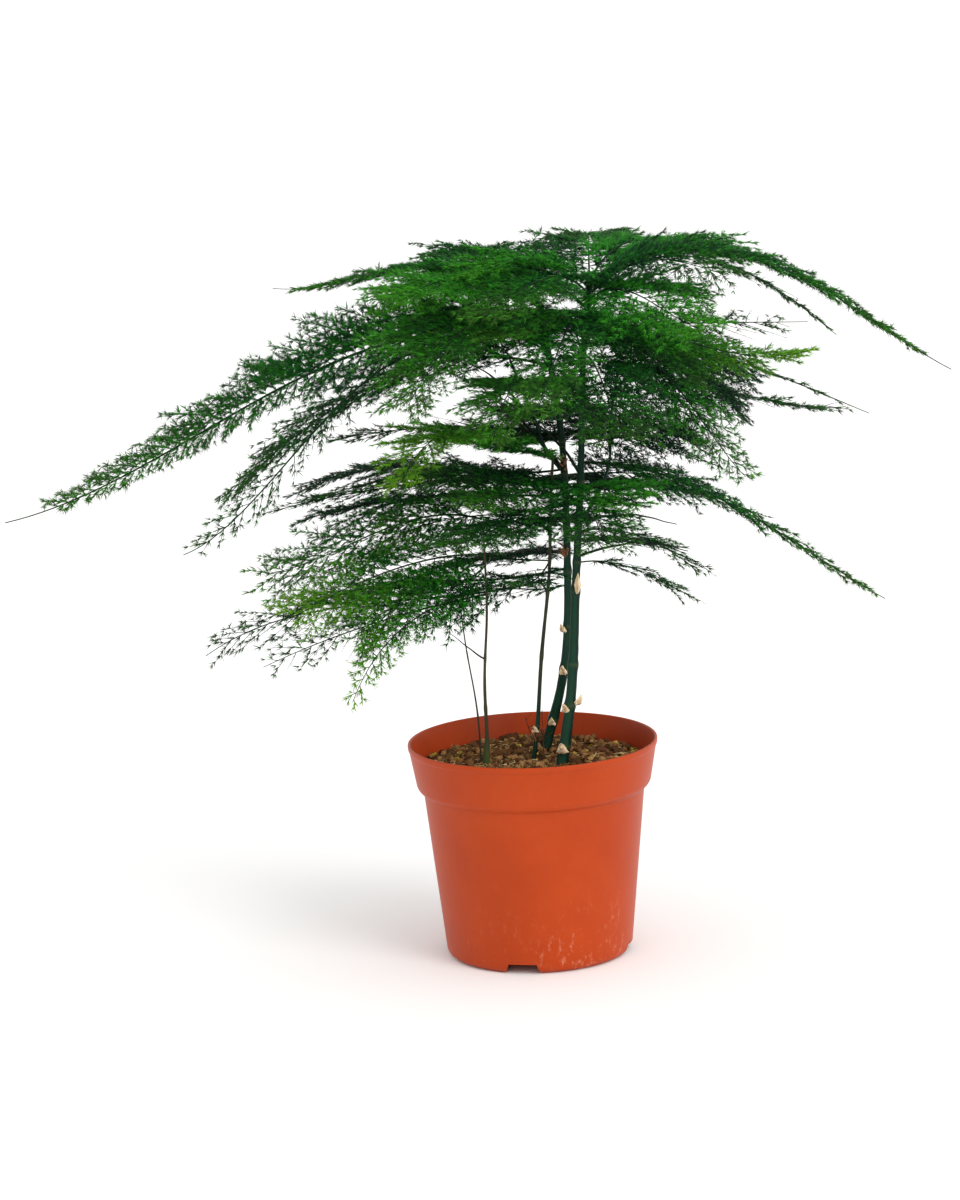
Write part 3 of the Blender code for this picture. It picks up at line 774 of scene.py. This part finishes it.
POT_SEGMENTS = 256
OUTLINE_STEP = 0.0070  # longest edge up the pot's wall
WALL = 0.0014
BODY_TOP = 0.0576  # radius just under the collar
BASE = 0.0484  # radius at the foot
WARP = 0.0016  # how far out of round the rim is, as a share
SLOT_HEADING = math.radians(-102)
SLOT_REACH = (0.0358, 0.0526)  # radii between which a foot slot is cut
SLOT_CORNERS = [(-0.0092, -0.0014), (0.0092, -0.0014), (0.0092, 0.0), (0.0074, 0.0054),
                (-0.0074, 0.0054), (-0.0092, 0.0)]  # across and up
HOLE_CIRCLE = 0.031
DRILL_OUTLINE = np.array([(0.0, 0.0027), (0.0045, 0.0027), (0.0045, 0.0097), (0.0, 0.0097)])
PEAT_LEVEL = SOIL_TOP - 0.001  # mean height of the peat under its lumps
SOIL_SEGMENTS = 220
SOIL_RINGS = 68
SOIL_STEP = 0.0060
EDGE_REACH = 0.96  # share of the soil's radius that loose matter lies on

# Radius and height of each corner of the pot's half outline, then how far its rounding reaches.
POT_CORNERS = [
    (0.0, 0.0, 0.0), (0.0140, 0.0, 0.0008), (0.01675, 0.0055, 0.0008),
    (0.0470, 0.0055, 0.0006), (0.0430, 0.0, 0.0003), (BASE, 0.0, 0.0042),
    (BODY_TOP, 0.0875, 0.0009), (0.0608, 0.0897, 0.0019),
    (0.0643, POT_HEIGHT - 0.0036, 0.0004), (0.0649, POT_HEIGHT - 0.0027, 0.0005),
    (RIM_RADIUS, POT_HEIGHT, 0.0007),
    (RIM_RADIUS - WALL, POT_HEIGHT, 0.0007), (0.0594, 0.0922, 0.0012),
    (BODY_TOP - WALL, 0.0882, 0.0012), (0.0470, 0.0090, 0.0008), (0.0449, 0.0069, 0.0008),
    (0.01675, 0.0069, 0.0006), (0.0140, WALL, 0.0006), (0.0, WALL, 0.0)]

# The same for the soil: it fills the pot less a small gap.
SOIL_CORNERS = [
    (0.0, 0.0018, 0.0), (0.0138, 0.0018, 0.0006), (0.0166, 0.0073, 0.0006),
    (0.0446, 0.0073, 0.0006), (0.0466, 0.0094, 0.0006), (0.0558, 0.0884, 0.0008),
    (0.0590, 0.0924, 0.0008), (SOIL_RADIUS - 0.0002, PEAT_LEVEL, 0.0006),
    (0.0, PEAT_LEVEL, 0.0)]

# The peat's lumps: size of each kind, and how far it lifts the surface.
PEAT_LUMPS = ((0.017, 0.0016), (0.0075, 0.0014), (0.0036, 0.0011), (0.0018, 0.0006),
              (0.0009, 0.0003))


def rounded(corners, step):
    """A half outline with its corners rounded, and no two points further apart than step.

    Each rounding is the cubic curve that leaves one edge and meets the next at the corner's
    reach, with its handles 0.55 of the way to the corner.
    """
    path = [np.array(corners[0][:2])]
    u = np.linspace(0, 1, 6)[:, None]
    for before, (r, z, reach), after in zip(corners, corners[1:], corners[2:]):
        corner = np.array((r, z))
        start, end = (corner + reach * unit(np.array(other[:2]) - corner)
                      for other in (before, after))
        one, two = start + 0.55 * (corner - start), end + 0.55 * (corner - end)
        path += list((1 - u) ** 3 * start + 3 * u * (1 - u) ** 2 * one
                     + 3 * u * u * (1 - u) * two + u ** 3 * end)
    path.append(np.array(corners[-1][:2]))
    dense = [path[0][None]]
    for first, last in zip(path, path[1:]):
        count = max(int(math.ceil(np.linalg.norm(last - first) / step)), 1)
        dense.append(first + (last - first) * np.arange(1, count + 1)[:, None] / count)
    return np.concatenate(dense)


def turned(outline, segments):
    """A half outline of radius and height, from axis to axis, carried once round z."""
    radius, height = outline[1:-1].T
    angle = TURN * np.arange(segments) / segments
    ring = np.stack([radius[:, None] * np.cos(angle), radius[:, None] * np.sin(angle),
                     np.repeat(height[:, None], segments, axis=1)], axis=-1)
    k = len(radius)
    points = np.concatenate([ring.reshape(-1, 3), [(0, 0, outline[0, 1]), (0, 0, outline[-1, 1])]])
    index = np.arange(k * segments).reshape(k, segments)
    beside = np.roll(index, -1, axis=1)
    quads = np.stack([index[:-1], beside[:-1], beside[1:], index[1:]], axis=-1).reshape(-1, 4)
    poles = np.full((2, segments), k * segments) + np.array([[0], [1]])
    fans = np.concatenate([np.stack([poles[0], beside[0], index[0]], axis=-1),
                           np.stack([index[-1], beside[-1], poles[1]], axis=-1)])
    return points, [quads, fans]


def cut_away(piece, cutters):
    """Take each cutter out of the piece for good."""
    for cutter in cutters:
        step = piece.modifiers.new("cut", "BOOLEAN")
        step.operation, step.solver, step.object = "DIFFERENCE", "EXACT", cutter
    ready = piece.evaluated_get(bpy.context.evaluated_depsgraph_get())
    whole = bpy.data.meshes.new_from_object(ready)
    piece.modifiers.clear()
    piece.data = whole
    for cutter in cutters:
        bpy.data.objects.remove(cutter)


def prism(name, corners, heading, near, far, finish):
    """Corners of a flat shape across a heading, joined straight from near to far along it."""
    across = np.array([-math.sin(heading), math.cos(heading), 0.0])
    along = np.array([math.cos(heading), math.sin(heading), 0.0])
    flat = np.array([side * across + (0, 0, z) for side, z in corners])
    n = len(corners)
    index = np.arange(n)
    beside = np.roll(index, -1)
    sides = np.stack([index, beside, beside + n, index + n], axis=-1)
    caps = np.stack([index[::-1], index + n])
    points = np.concatenate([flat + near * along, flat + far * along])
    return mesh_piece(name, points, [sides, caps], finish, smooth=False)


def make_pot(finish):
    """A turned nursery pot with a flared collar, four slots in its foot and four drain holes.

    Its radius is scaled by 1 + WARP * (cos(2 angle + 0.6) * (height / pot height) squared - 1),
    so the rim is a little out of round and stays inside its solid.
    """
    points, faces = turned(rounded(POT_CORNERS, OUTLINE_STEP), POT_SEGMENTS)
    angle = np.arctan2(points[:, 1], points[:, 0])
    warp = 1 + WARP * np.cos(2 * angle + 0.6) * (points[:, 2] / POT_HEIGHT) ** 2
    points[:, :2] *= (warp - WARP)[:, None]
    pot = mesh_piece("nursery_pot", points, faces, finish)
    cutters = []
    for i in range(4):
        heading = SLOT_HEADING + TURN * i / 4
        cutters.append(prism(f"slot_{i}", SLOT_CORNERS, heading, *SLOT_REACH, finish))
        turn = heading + TURN / 8
        middle = HOLE_CIRCLE * np.array([math.cos(turn), math.sin(turn), 0.0])
        round_points, round_faces = turned(DRILL_OUTLINE, 40)
        cutters.append(mesh_piece(f"drill_{i}", round_points + middle, round_faces, finish))
    cut_away(pot, cutters)
    pot.data.set_sharp_from_angle(angle=math.radians(40))
    return stands_for(pot, "terracotta_plastic", "pot")


def relief(points):
    """How far the peat lies above or below its mean level: lumps of five sizes, a low edge."""
    flat = points * np.array([1.0, 1.0, 0.0]) + 0.5
    height = sum(lift * lumps(flat, size, 40 + i) for i, (size, lift) in enumerate(PEAT_LUMPS))
    radius = np.hypot(points[:, 0], points[:, 1]) / SOIL_RADIUS
    return height + 0.0012 - 0.0035 * np.clip(radius * 6 - 5, 0, 1) ** 2


def make_soil(finish):
    """The turned root ball: its top is laid again in even rings and lifted by the relief."""
    outline = rounded(SOIL_CORNERS, SOIL_STEP)
    top = outline[-1, 1]
    wall = outline[:-1][outline[:-1, 0] > 0]
    rim = wall[-1, 0]
    inward = np.linspace(rim, 0.0, SOIL_RINGS)[1:]
    wall = wall[(wall[:, 1] < top - 1e-6) | (wall[:, 0] > rim - 0.001)]
    outline = np.concatenate([outline[:1], wall,
                              np.column_stack([inward, np.full(len(inward), top)])])
    keep = np.concatenate([[True], np.linalg.norm(np.diff(outline, axis=0), axis=1) > 1e-7])
    points, faces = turned(outline[keep], SOIL_SEGMENTS)
    level = points[:, 2] > top - 1e-5
    points[level, 2] += relief(points[level])
    soil = mesh_piece("peat_soil", points, faces, finish)
    return stands_for(soil, "potting_soil", "soil")


# A regular solid of 20 faces, its corners one from the middle.
GRAIN_CORNERS = np.array([(-1, 1.618, 0), (1, 1.618, 0), (-1, -1.618, 0), (1, -1.618, 0),
                          (0, -1, 1.618), (0, 1, 1.618), (0, -1, -1.618), (0, 1, -1.618),
                          (1.618, 0, -1), (1.618, 0, 1), (-1.618, 0, -1), (-1.618, 0, 1)]) / 1.902
GRAIN_FACES = np.array([(0, 11, 5), (0, 5, 1), (0, 1, 7), (0, 7, 10), (0, 10, 11), (1, 5, 9),
                        (5, 11, 4), (11, 10, 2), (10, 7, 6), (7, 1, 8), (3, 9, 4), (3, 4, 2),
                        (3, 2, 6), (3, 6, 8), (3, 8, 9), (4, 9, 5), (2, 4, 11), (6, 2, 10),
                        (8, 6, 7), (9, 8, 1)])


def scattered(count, rng, reach=EDGE_REACH):
    """Even random places on the peat: radius by the square root, height from the relief."""
    radius = SOIL_RADIUS * reach * np.sqrt(rng.uniform(0, 1, count))
    angle = rng.uniform(0, TURN, count)
    places = np.column_stack([radius * np.cos(angle), radius * np.sin(angle), np.zeros(count)])
    places[:, 2] = PEAT_LEVEL + relief(places)
    return places


def grains(name, count, low, high, stretch, shades, seed, finish):
    """Loose lumps: each is a 20-sided grain with its corners pushed in and out at random.

    A size between low and high is drawn with small ones far commoner. stretch gives the
    grain's three proportions, turned by a random angle about z and tipped a little.
    """
    rng = np.random.default_rng(seed)
    places = scattered(count, rng)
    sizes = low + (high - low) * rng.uniform(0, 1, count) ** 3
    shape = GRAIN_CORNERS[None] * rng.uniform(0.65, 1.2, (count, 12, 1))
    shape = shape * np.array(stretch) * sizes[:, None, None] / 2
    turn, tip = rng.uniform(0, TURN, count), rng.normal(0, 0.35, count)
    c, s = np.cos(tip)[:, None], np.sin(tip)[:, None]
    x, y, z = np.moveaxis(shape, -1, 0)
    x, z = c * x - s * z, s * x + c * z
    c, s = np.cos(turn)[:, None], np.sin(turn)[:, None]
    points = places[:, None] + np.stack([c * x - s * y, s * x + c * y, z], axis=-1)
    points[..., 2] += sizes[:, None] * stretch[2] * 0.22
    faces = (12 * np.arange(count)[:, None, None] + GRAIN_FACES).reshape(-1, 3)
    shade = np.clip(rng.normal(shades[0], shades[1], count), 0, 1)
    growth = np.repeat(np.column_stack([shade, shade, shade]), 12, axis=0)
    piece = mesh_piece(name, points.reshape(-1, 3), [faces], finish, growth, smooth=False)
    return stands_for(piece, "potting_soil")


def fibres(name, count, length, thickness, lift, seed, finish):
    """Thin curved strands that lie on the peat, each an arc whose far end lifts a little."""
    knots, sides = 7, 4
    rng = np.random.default_rng(seed)
    feet = scattered(count, rng, 0.86)
    turn = rng.uniform(0, TURN, count)
    bend = rng.normal(0, 1.2, count)
    run = np.linspace(-0.5, 0.5, knots) * (length * rng.uniform(0.5, 1.3, count))[:, None]
    angle = turn[:, None] + bend[:, None] * np.linspace(-0.5, 0.5, knots)
    paths = feet[:, None] + np.stack([run * np.cos(angle), run * np.sin(angle), 0 * run], axis=-1)
    far = np.hypot(paths[..., 0], paths[..., 1])
    edge = SOIL_RADIUS * EDGE_REACH
    paths[..., :2] *= np.minimum(1.0, edge / np.maximum(far, 1e-9))[..., None]
    paths[..., 2] = (PEAT_LEVEL + relief(paths.reshape(-1, 3))).reshape(count, knots)
    rise = np.linspace(0, 1, knots) ** 2
    paths[..., 2] += thickness + lift * rng.uniform(0, 1, (count, 1)) * rise
    radii = thickness * rng.uniform(0.6, 1.2, (count, 1)) * np.array([.4, .8, 1, 1, .9, .7, .3])
    points, faces = tubes(paths, radii, sides)
    shade = np.repeat(rng.uniform(0.2, 0.9, count), knots * sides)
    piece = mesh_piece(name, points, faces, finish, np.column_stack([shade] * 3))
    return stands_for(piece, "potting_soil")


def litter_the_soil():
    """What lies on the peat: crumbs, bark, moss, root fibre and fallen needles."""
    peat = crumb_finish("peat_crumbs", rgb(34, 20, 10), rgb(98, 64, 34), rgb(176, 134, 84))
    bark = crumb_finish("bark_chips", rgb(44, 24, 16), rgb(98, 58, 34), rgb(156, 108, 66))
    moss = crumb_finish("yellow_moss", rgb(78, 70, 18), rgb(150, 128, 38), rgb(206, 180, 84))
    straw = crumb_finish("root_fibre", rgb(120, 88, 50), rgb(176, 140, 92), rgb(222, 196, 150))
    grains("soil_crumbs", 1900, 0.0009, 0.0056, (1, 0.85, 0.8), (0.36, 0.24), 11, peat)
    grains("bark_bits", 260, 0.0024, 0.0095, (1, 0.6, 0.35), (0.42, 0.26), 12, bark)
    grains("moss_bits", 210, 0.0012, 0.0052, (1, 0.8, 0.55), (0.45, 0.22), 13, moss)
    grains("husk_bits", 150, 0.0014, 0.0050, (1, 0.55, 0.30), (0.50, 0.22), 16, straw)
    fibres("fine_roots", 190, 0.011, 0.00024, 0.0022, 14, straw)
    fibres("fallen_needles", 170, 0.0052, 0.00022, 0.0010, 15, moss)


# ---------------------------------------------------------------- stems and papery leaves

STEM_SIDES = 20
STEM_STEP = 0.0011
# The heading of the side of every stem that gets the painted highlight.
PAINTED_HIGHLIGHT_HEADING = -1.9  # radians round z from +x
JOINT_SWELL = 0.20
JOINT_REACH = 0.0024  # along the stem
SCAR_REACH = 0.0009
PAPER = 0.00016  # half the thickness of a scale leaf's middle

# How full each stem is beside its solid, and the heights above the soil of its joints.
JOINTS = {
    "cane_a": (1.08, 0.010, 0.031, 0.052, 0.090, 0.105, 0.126, 0.147, 0.171, 0.199, 0.222,
               0.236, 0.248),
    "cane_b": (1.5, 0.018, 0.046, 0.069, 0.098, 0.121, 0.149, 0.166, 0.190, 0.213, 0.232),
    "cane_c": (0.95, 0.018, 0.055, 0.088, 0.105, 0.117, 0.139),
    "branch_left": (1.0, 0.160, 0.184, 0.200), "branch_right": (1.0, 0.137, 0.168, 0.192),
    "wiry_stem_e": (0.82, 0.030, 0.057, 0.092, 0.107), "wiry_stem_f": (0.72, 0.024, 0.055),
}


def stem_surface(line, fullness, joints, dryness, foot, seed):
    """A tube of height by angle: its radius swells at each joint and ripples round and along.

    The radius is the fitted one times fullness * (1 + JOINT_SWELL * the sum of
    exp(-(distance to a joint / JOINT_REACH) squared) + foot * a bell at the soil), with five
    shallow ribs. The growth numbers are a painted highlight (a paler green band down one side
    of every stem), the scar at a joint or the young green of the foot, and how brown the stem
    is, read off dryness by height above the soil.
    """
    z = np.arange(line.low, line.high, STEM_STEP)
    off = z[:, None] - SOIL_TOP - np.array(joints)
    joint = np.exp(-((off / JOINT_REACH) ** 2)).sum(axis=1)
    taper = np.clip((line.high - z) / 0.004, 0.25, 1.0)
    young = foot * np.exp(-(((z - SOIL_TOP - 0.003) / 0.009) ** 2))
    radius = line.radius(z) * fullness * (1 + JOINT_SWELL * joint + young) * taper
    middle = line.at(z)
    points, faces = tubes(middle[None], radius[None], STEM_SIDES)
    spine = np.repeat(middle, STEM_SIDES, axis=0)
    angle = np.arctan2(*(points - spine)[:, [1, 0]].T)
    ripple = 1 + 0.03 * np.cos(5 * angle) + 0.06 * lumps(points, 0.005, seed)
    points = spine + (points - spine) * ripple[:, None]
    # Painted highlight: within 60 degrees of that heading, each stem gets a paler green.
    painted_highlight = np.clip(np.cos(angle - PAINTED_HIGHLIGHT_HEADING) * 2.4 - 1.2, 0, 1)
    ring = np.clip(np.exp(-((off / SCAR_REACH) ** 2)).sum(axis=1) * 0.9 - 0.2, 0, 1)
    scar = np.repeat(np.maximum(ring, np.clip(young * 1.2, 0, 1)), STEM_SIDES)
    brown = np.interp(points[:, 2] - SOIL_TOP, *dryness)
    return points, faces, np.column_stack([painted_highlight, scar, brown])


def grow_stems(finish):
    """Every cane, branch and wiry stem. Dryness is heights above the soil and brown shares."""
    dryness = {"wiry_stem_e": ([0.006, 0.022, 0.1], [0.0, 0.7, 1.0]),
               "wiry_stem_f": ([0.0, 0.012], [0.5, 1.0]),
               "cane_c": ([0.025, 0.045], [0.0, 0.6])}
    for number, (name, (fullness, *joints)) in enumerate(JOINTS.items()):
        brown = dryness.get(name, ([0.0], [0.0]))
        foot = 1.0 if name == "wiry_stem_e" else 0.0
        points, faces, growth = stem_surface(StemLine(name), fullness, joints, brown, foot,
                                             60 + number)
        piece = mesh_piece("stem_" + name, points, faces, finish, growth)
        stands_for(piece, "cane_bark", name)


# Bare side twigs: stem, height above the soil, heading, length, slopes at foot, middle and tip,
# and thickness at the foot.
BARE_TWIGS = {
    "twig_a_right": ("cane_a", 0.118, -20, 0.012, (60, 20, 10), 0.0009),
    "twig_e_left": ("wiry_stem_e", 0.057, 180, 0.022, (30, 40, 30), 0.0005),
    "twig_e_right": ("wiry_stem_e", 0.092, -10, 0.012, (60, 60, 60), 0.0006),
    "twig_c_left": ("cane_c", 0.088, 165, 0.013, (70, 55, 70), 0.0007),
    "twig_f_tip": ("wiry_stem_f", 0.080, 150, 0.020, (65, 70, 60), 0.0005),
    "twig_f_right": ("wiry_stem_f", 0.083, -20, 0.016, (60, 50, 70), 0.0004),
    "twig_right_up": ("branch_right", 0.165, -30, 0.030, (70, 60, 50), 0.0009),
    "twig_right_out": ("branch_right", 0.190, 10, 0.040, (50, 40, 20), 0.0008),
    "twig_left_out": ("branch_left", 0.180, 190, 0.045, (50, 45, 30), 0.0009),
    "twig_left_low": ("branch_left", 0.165, -150, 0.050, (40, 45, 40), 0.0009),
    "twig_b_left": ("cane_b", 0.150, -160, 0.055, (55, 50, 40), 0.0010),
    "twig_a_left": ("cane_a", 0.150, -165, 0.050, (60, 50, 30), 0.0009),
    "twig_a_out": ("cane_a", 0.126, 5, 0.052, (15, -5, -25), 0.0008),
    "twig_a_low_out": ("cane_a", 0.108, -15, 0.060, (20, 5, -20), 0.0008),
}


def grow_twigs(finish):
    """The bare twigs, each a seven-sided tube that thins to 0.3 and wanders by lumps."""
    for number, (name, row) in enumerate(BARE_TWIGS.items()):
        stem, height, heading, length, slopes, thick = row
        path = free_rachis(StemLine(stem), height, heading, length, slopes, 24).line
        wobble = np.stack([lumps(path + i, 0.008, 90 + number) for i in range(3)], axis=-1)
        path = path + wobble * 0.0007
        run = np.linspace(0, 1, len(path))
        points, faces = tubes(path[None], (thick * (1 - 0.7 * run))[None], 7)
        growth = np.tile([0.0, 0.0, 0.15], (len(points), 1))
        stands_for(mesh_piece(name, points, faces, finish, growth), "cane_bark")


def dry_sprig(name, node, seed, finish):
    """A dead sprig: a thin tube up its solid's midline with short bent twigs off it."""
    rng = np.random.default_rng(seed)
    line = StemLine(node)
    z = np.linspace(line.low, line.high, 40)
    path = line.at(z)
    path += np.stack([lumps(path + i, 0.006, seed) for i in range(3)], axis=-1) * 0.0004
    parts = [tubes(path[None], line.radius(z)[None] * np.linspace(1, 0.35, 40), 8)]
    count = 9
    start = rng.integers(16, 39, count)
    turn = rng.uniform(0, TURN, count)
    heads = np.column_stack([np.cos(turn), np.sin(turn), rng.uniform(0.4, 1.6, count)])
    twigs = Twigs(path[start], heads, rng.uniform(0.002, 0.006, count), 0.3 * heads[:, ::-1],
                  20 * np.ones(count))
    steps = np.linspace(0, 1, 6)
    parts.append(tubes(twigs.at(np.broadcast_to(steps, (count, 6))),
                       0.00022 * (1 - 0.6 * steps)[None] * np.ones((count, 1)), 5))
    whole = joined([(points, faces, np.tile([0.0, 0.15, 0.0], (len(points), 1)))
                    for points, faces in parts])
    stands_for(mesh_piece(name, *whole[:2], finish, whole[2]), "dry_stem", node)


def blade(foot, tip, outward, width, cup, curl, seed, foot_share=0.45):
    """A thin papery scale: v runs from foot to tip, u across, and both faces are closed.

    Its half width is width / 2 * least(1, foot_share + 11 foot_share v) * (1 - v) ** 0.7 with a
    torn edge, its middle bows out by cup * (1 - u * u), and its tip bends out by curl * v * v.
    """
    u, v = np.meshgrid(np.linspace(-1, 1, 13), np.linspace(0, 1, 22))
    along = tip - foot
    side = unit(np.cross(along, outward))
    away = unit(np.cross(side, along))
    torn = 1 + 0.16 * lumps(np.stack([v * 9, np.sign(u) * 3 + 7, 0 * u], axis=-1), 1.0, seed)
    half = width / 2 * np.minimum(1, foot_share * (1 + 11 * v)) * (1.0001 - v) ** 0.7 * torn
    span = np.linalg.norm(along)
    crumple = 0.10 * width * lumps(np.stack([u * 1.5, v * 5, 0 * u], axis=-1) + 9, 1.0, seed + 1)
    rise = cup * (1 - u * u) * np.sin(np.pi * (0.15 + 0.8 * v)) + curl * span * v * v + crumple
    middle = foot + v[..., None] * along + (u * half)[..., None] * side + rise[..., None] * away
    thick = PAPER * (1 - 0.8 * u * u)[..., None] * away
    points = np.concatenate([(middle + thick).reshape(-1, 3), (middle - thick).reshape(-1, 3)])
    index = np.arange(u.size).reshape(u.shape)
    face = np.stack([index[:-1, :-1], index[:-1, 1:], index[1:, 1:], index[1:, :-1]], axis=-1)
    face = face.reshape(-1, 4)
    edge = np.concatenate([index[0, :-1], index[:-1, -1], index[-1, :0:-1], index[:0:-1, 0]])
    after = np.roll(edge, -1)
    rim = np.stack([edge, edge + u.size, after + u.size, after], axis=-1)
    heart = np.tile(np.exp(-((u / 0.35) ** 2)) * (1 - v) * 0.7, (2, 1)).ravel()
    growth = np.column_stack([0 * heart, heart, 0 * heart])
    return points, [face, face[:, ::-1] + u.size, rim], growth


def stem_axis_near(point, lines):
    """The middle of the stem nearest to a point, at the point's height."""
    places = [line.at(point[2:3])[0] for line in lines]
    return min(places, key=lambda place: np.linalg.norm(place - point))


def sheath_blades(foot, tip, outward, seed):
    """The large sheath: a slim upright scale with a smaller one over its middle."""
    return [blade(foot - 0.0008 * UP, tip + 0.0012 * UP, outward, 0.0056, 0.0016, 0.05, seed, 0.18),
            blade(foot + 0.0012 * UP + outward * 0.0012, tip + outward * 0.0014, outward, 0.0030,
                  0.0008, 0.10, 340, 0.2)]


def scale_blades(foot, tip, outward, across, number):
    """A scale leaf: a wide blade and two short torn ones behind it, lower than the solid."""
    foot, tip = foot - 0.0030 * UP, tip - 0.0026 * UP
    blades = [blade(foot, tip, outward, across * 1.35, 0.0008, 0.12, 300 + number)]
    for k in range(2):
        sway = unit(np.cross(tip - foot, outward)) * (0.0014 - 0.0028 * k)
        shorter = foot + (tip - foot) * (0.75 - 0.25 * k)
        blades.append(blade(foot - outward * 0.0002 + sway * 0.4, shorter + sway, outward,
                            across * 0.7, 0.0004, 0.30, 320 + 2 * number + k))
    return blades


def wrap_leaves(finish):
    """The papery scales at the canes' joints, each grown along its solid's own long axis."""
    lines = [StemLine(name) for name in ("cane_a", "cane_b", "cane_c")]
    names = [f"scale_leaf_{i}" for i in range(1, 8)] + ["sheath"]
    for number, node in enumerate(names):
        points = node_points(node)
        centre = points.mean(axis=0)
        _, axes = np.linalg.eigh(np.cov((points - centre).T))
        order = np.argsort((points - centre) @ axes[:, 2])
        ends = [points[order[:4]].mean(axis=0), points[order[-4:]].mean(axis=0)]
        foot, tip = sorted(ends, key=lambda end: end[2])
        off_stem = (centre - stem_axis_near(centre, lines)) * np.array([1.0, 1.0, 0.0])
        outward = unit(unit(off_stem) - (0.0, 0.7, 0.0))
        across = np.abs((points - centre) @ axes[:, 1]).max() * 2
        if node == "sheath":
            blades = sheath_blades(foot, tip, outward, 300 + number)
        else:
            blades = scale_blades(foot, tip, outward, across, number)
        whole = joined(blades)
        piece = mesh_piece("papery_" + node, *whole[:2], finish, whole[2])
        stands_for(piece, "dry_bract", node)


# Clusters of brown husks where old shoots broke off: stem, height above the soil and heading.
HUSKS = {"husk_low": ("cane_b", 0.107, -125), "husk_high": ("cane_b", 0.153, -110),
         "husk_base": ("cane_c", 0.012, -90), "husk_crown": ("cane_a", 0.222, -100)}


def gather_husks(finish):
    """Nine small torn blades round a stem's front make up each cluster."""
    for number, (name, (stem, height, heading)) in enumerate(HUSKS.items()):
        rng = np.random.default_rng(500 + number)
        turn = math.radians(heading)
        outward = np.array([math.cos(turn), math.sin(turn), 0.0])
        line = StemLine(stem)
        blades = []
        for k in range(9):
            z = SOIL_TOP + height + rng.uniform(-0.003, 0.004)
            side = np.array([-outward[1], outward[0], 0.0]) * rng.uniform(-1, 1)
            out = unit(outward + 0.8 * side)
            foot = line.at(np.array([z]))[0] + out * line.radius(z) * 0.9
            tip = foot + (0.0045 * UP + out * 0.0016 + side * 0.0015) * rng.uniform(0.8, 1.4)
            blades.append(blade(foot, tip, out, 0.0021, 0.0005, 0.6, 510 + 16 * number + k, 0.25))
        whole = joined(blades)
        stands_for(mesh_piece(name, *whole[:2], finish, whole[2]), "dry_bract")


def main():
    """Camera, light and floor, then every piece of the plant and its pot."""
    set_camera()
    set_light()
    floor = mesh_piece("floor", np.array([(-9, -9, 0), (9, -9, 0), (9, 20, 0), (-9, 20, 0)]) * 1.0,
                       [np.array([[0, 1, 2, 3]])], floor_finish())
    foliage = foliage_finish()
    grow_all_sprays(foliage)
    make_pot(pot_finish())
    make_soil(peat_finish())
    litter_the_soil()
    bark = cane_finish()
    grow_stems(bark)
    grow_twigs(bark)
    twig = dry_finish("dry_twig", rgb(40, 22, 12), rgb(96, 62, 36))
    dry_sprig("dry_twig_a", "dry_sprig_a", 71, twig)
    dry_sprig("dry_twig_b", "dry_sprig_b", 72, twig)
    gather_husks(dry_finish("brown_husk", rgb(58, 34, 22), rgb(150, 106, 74)))
    wrap_leaves(dry_finish("dry_paper", rgb(206, 168, 118), rgb(246, 224, 188)))


main()
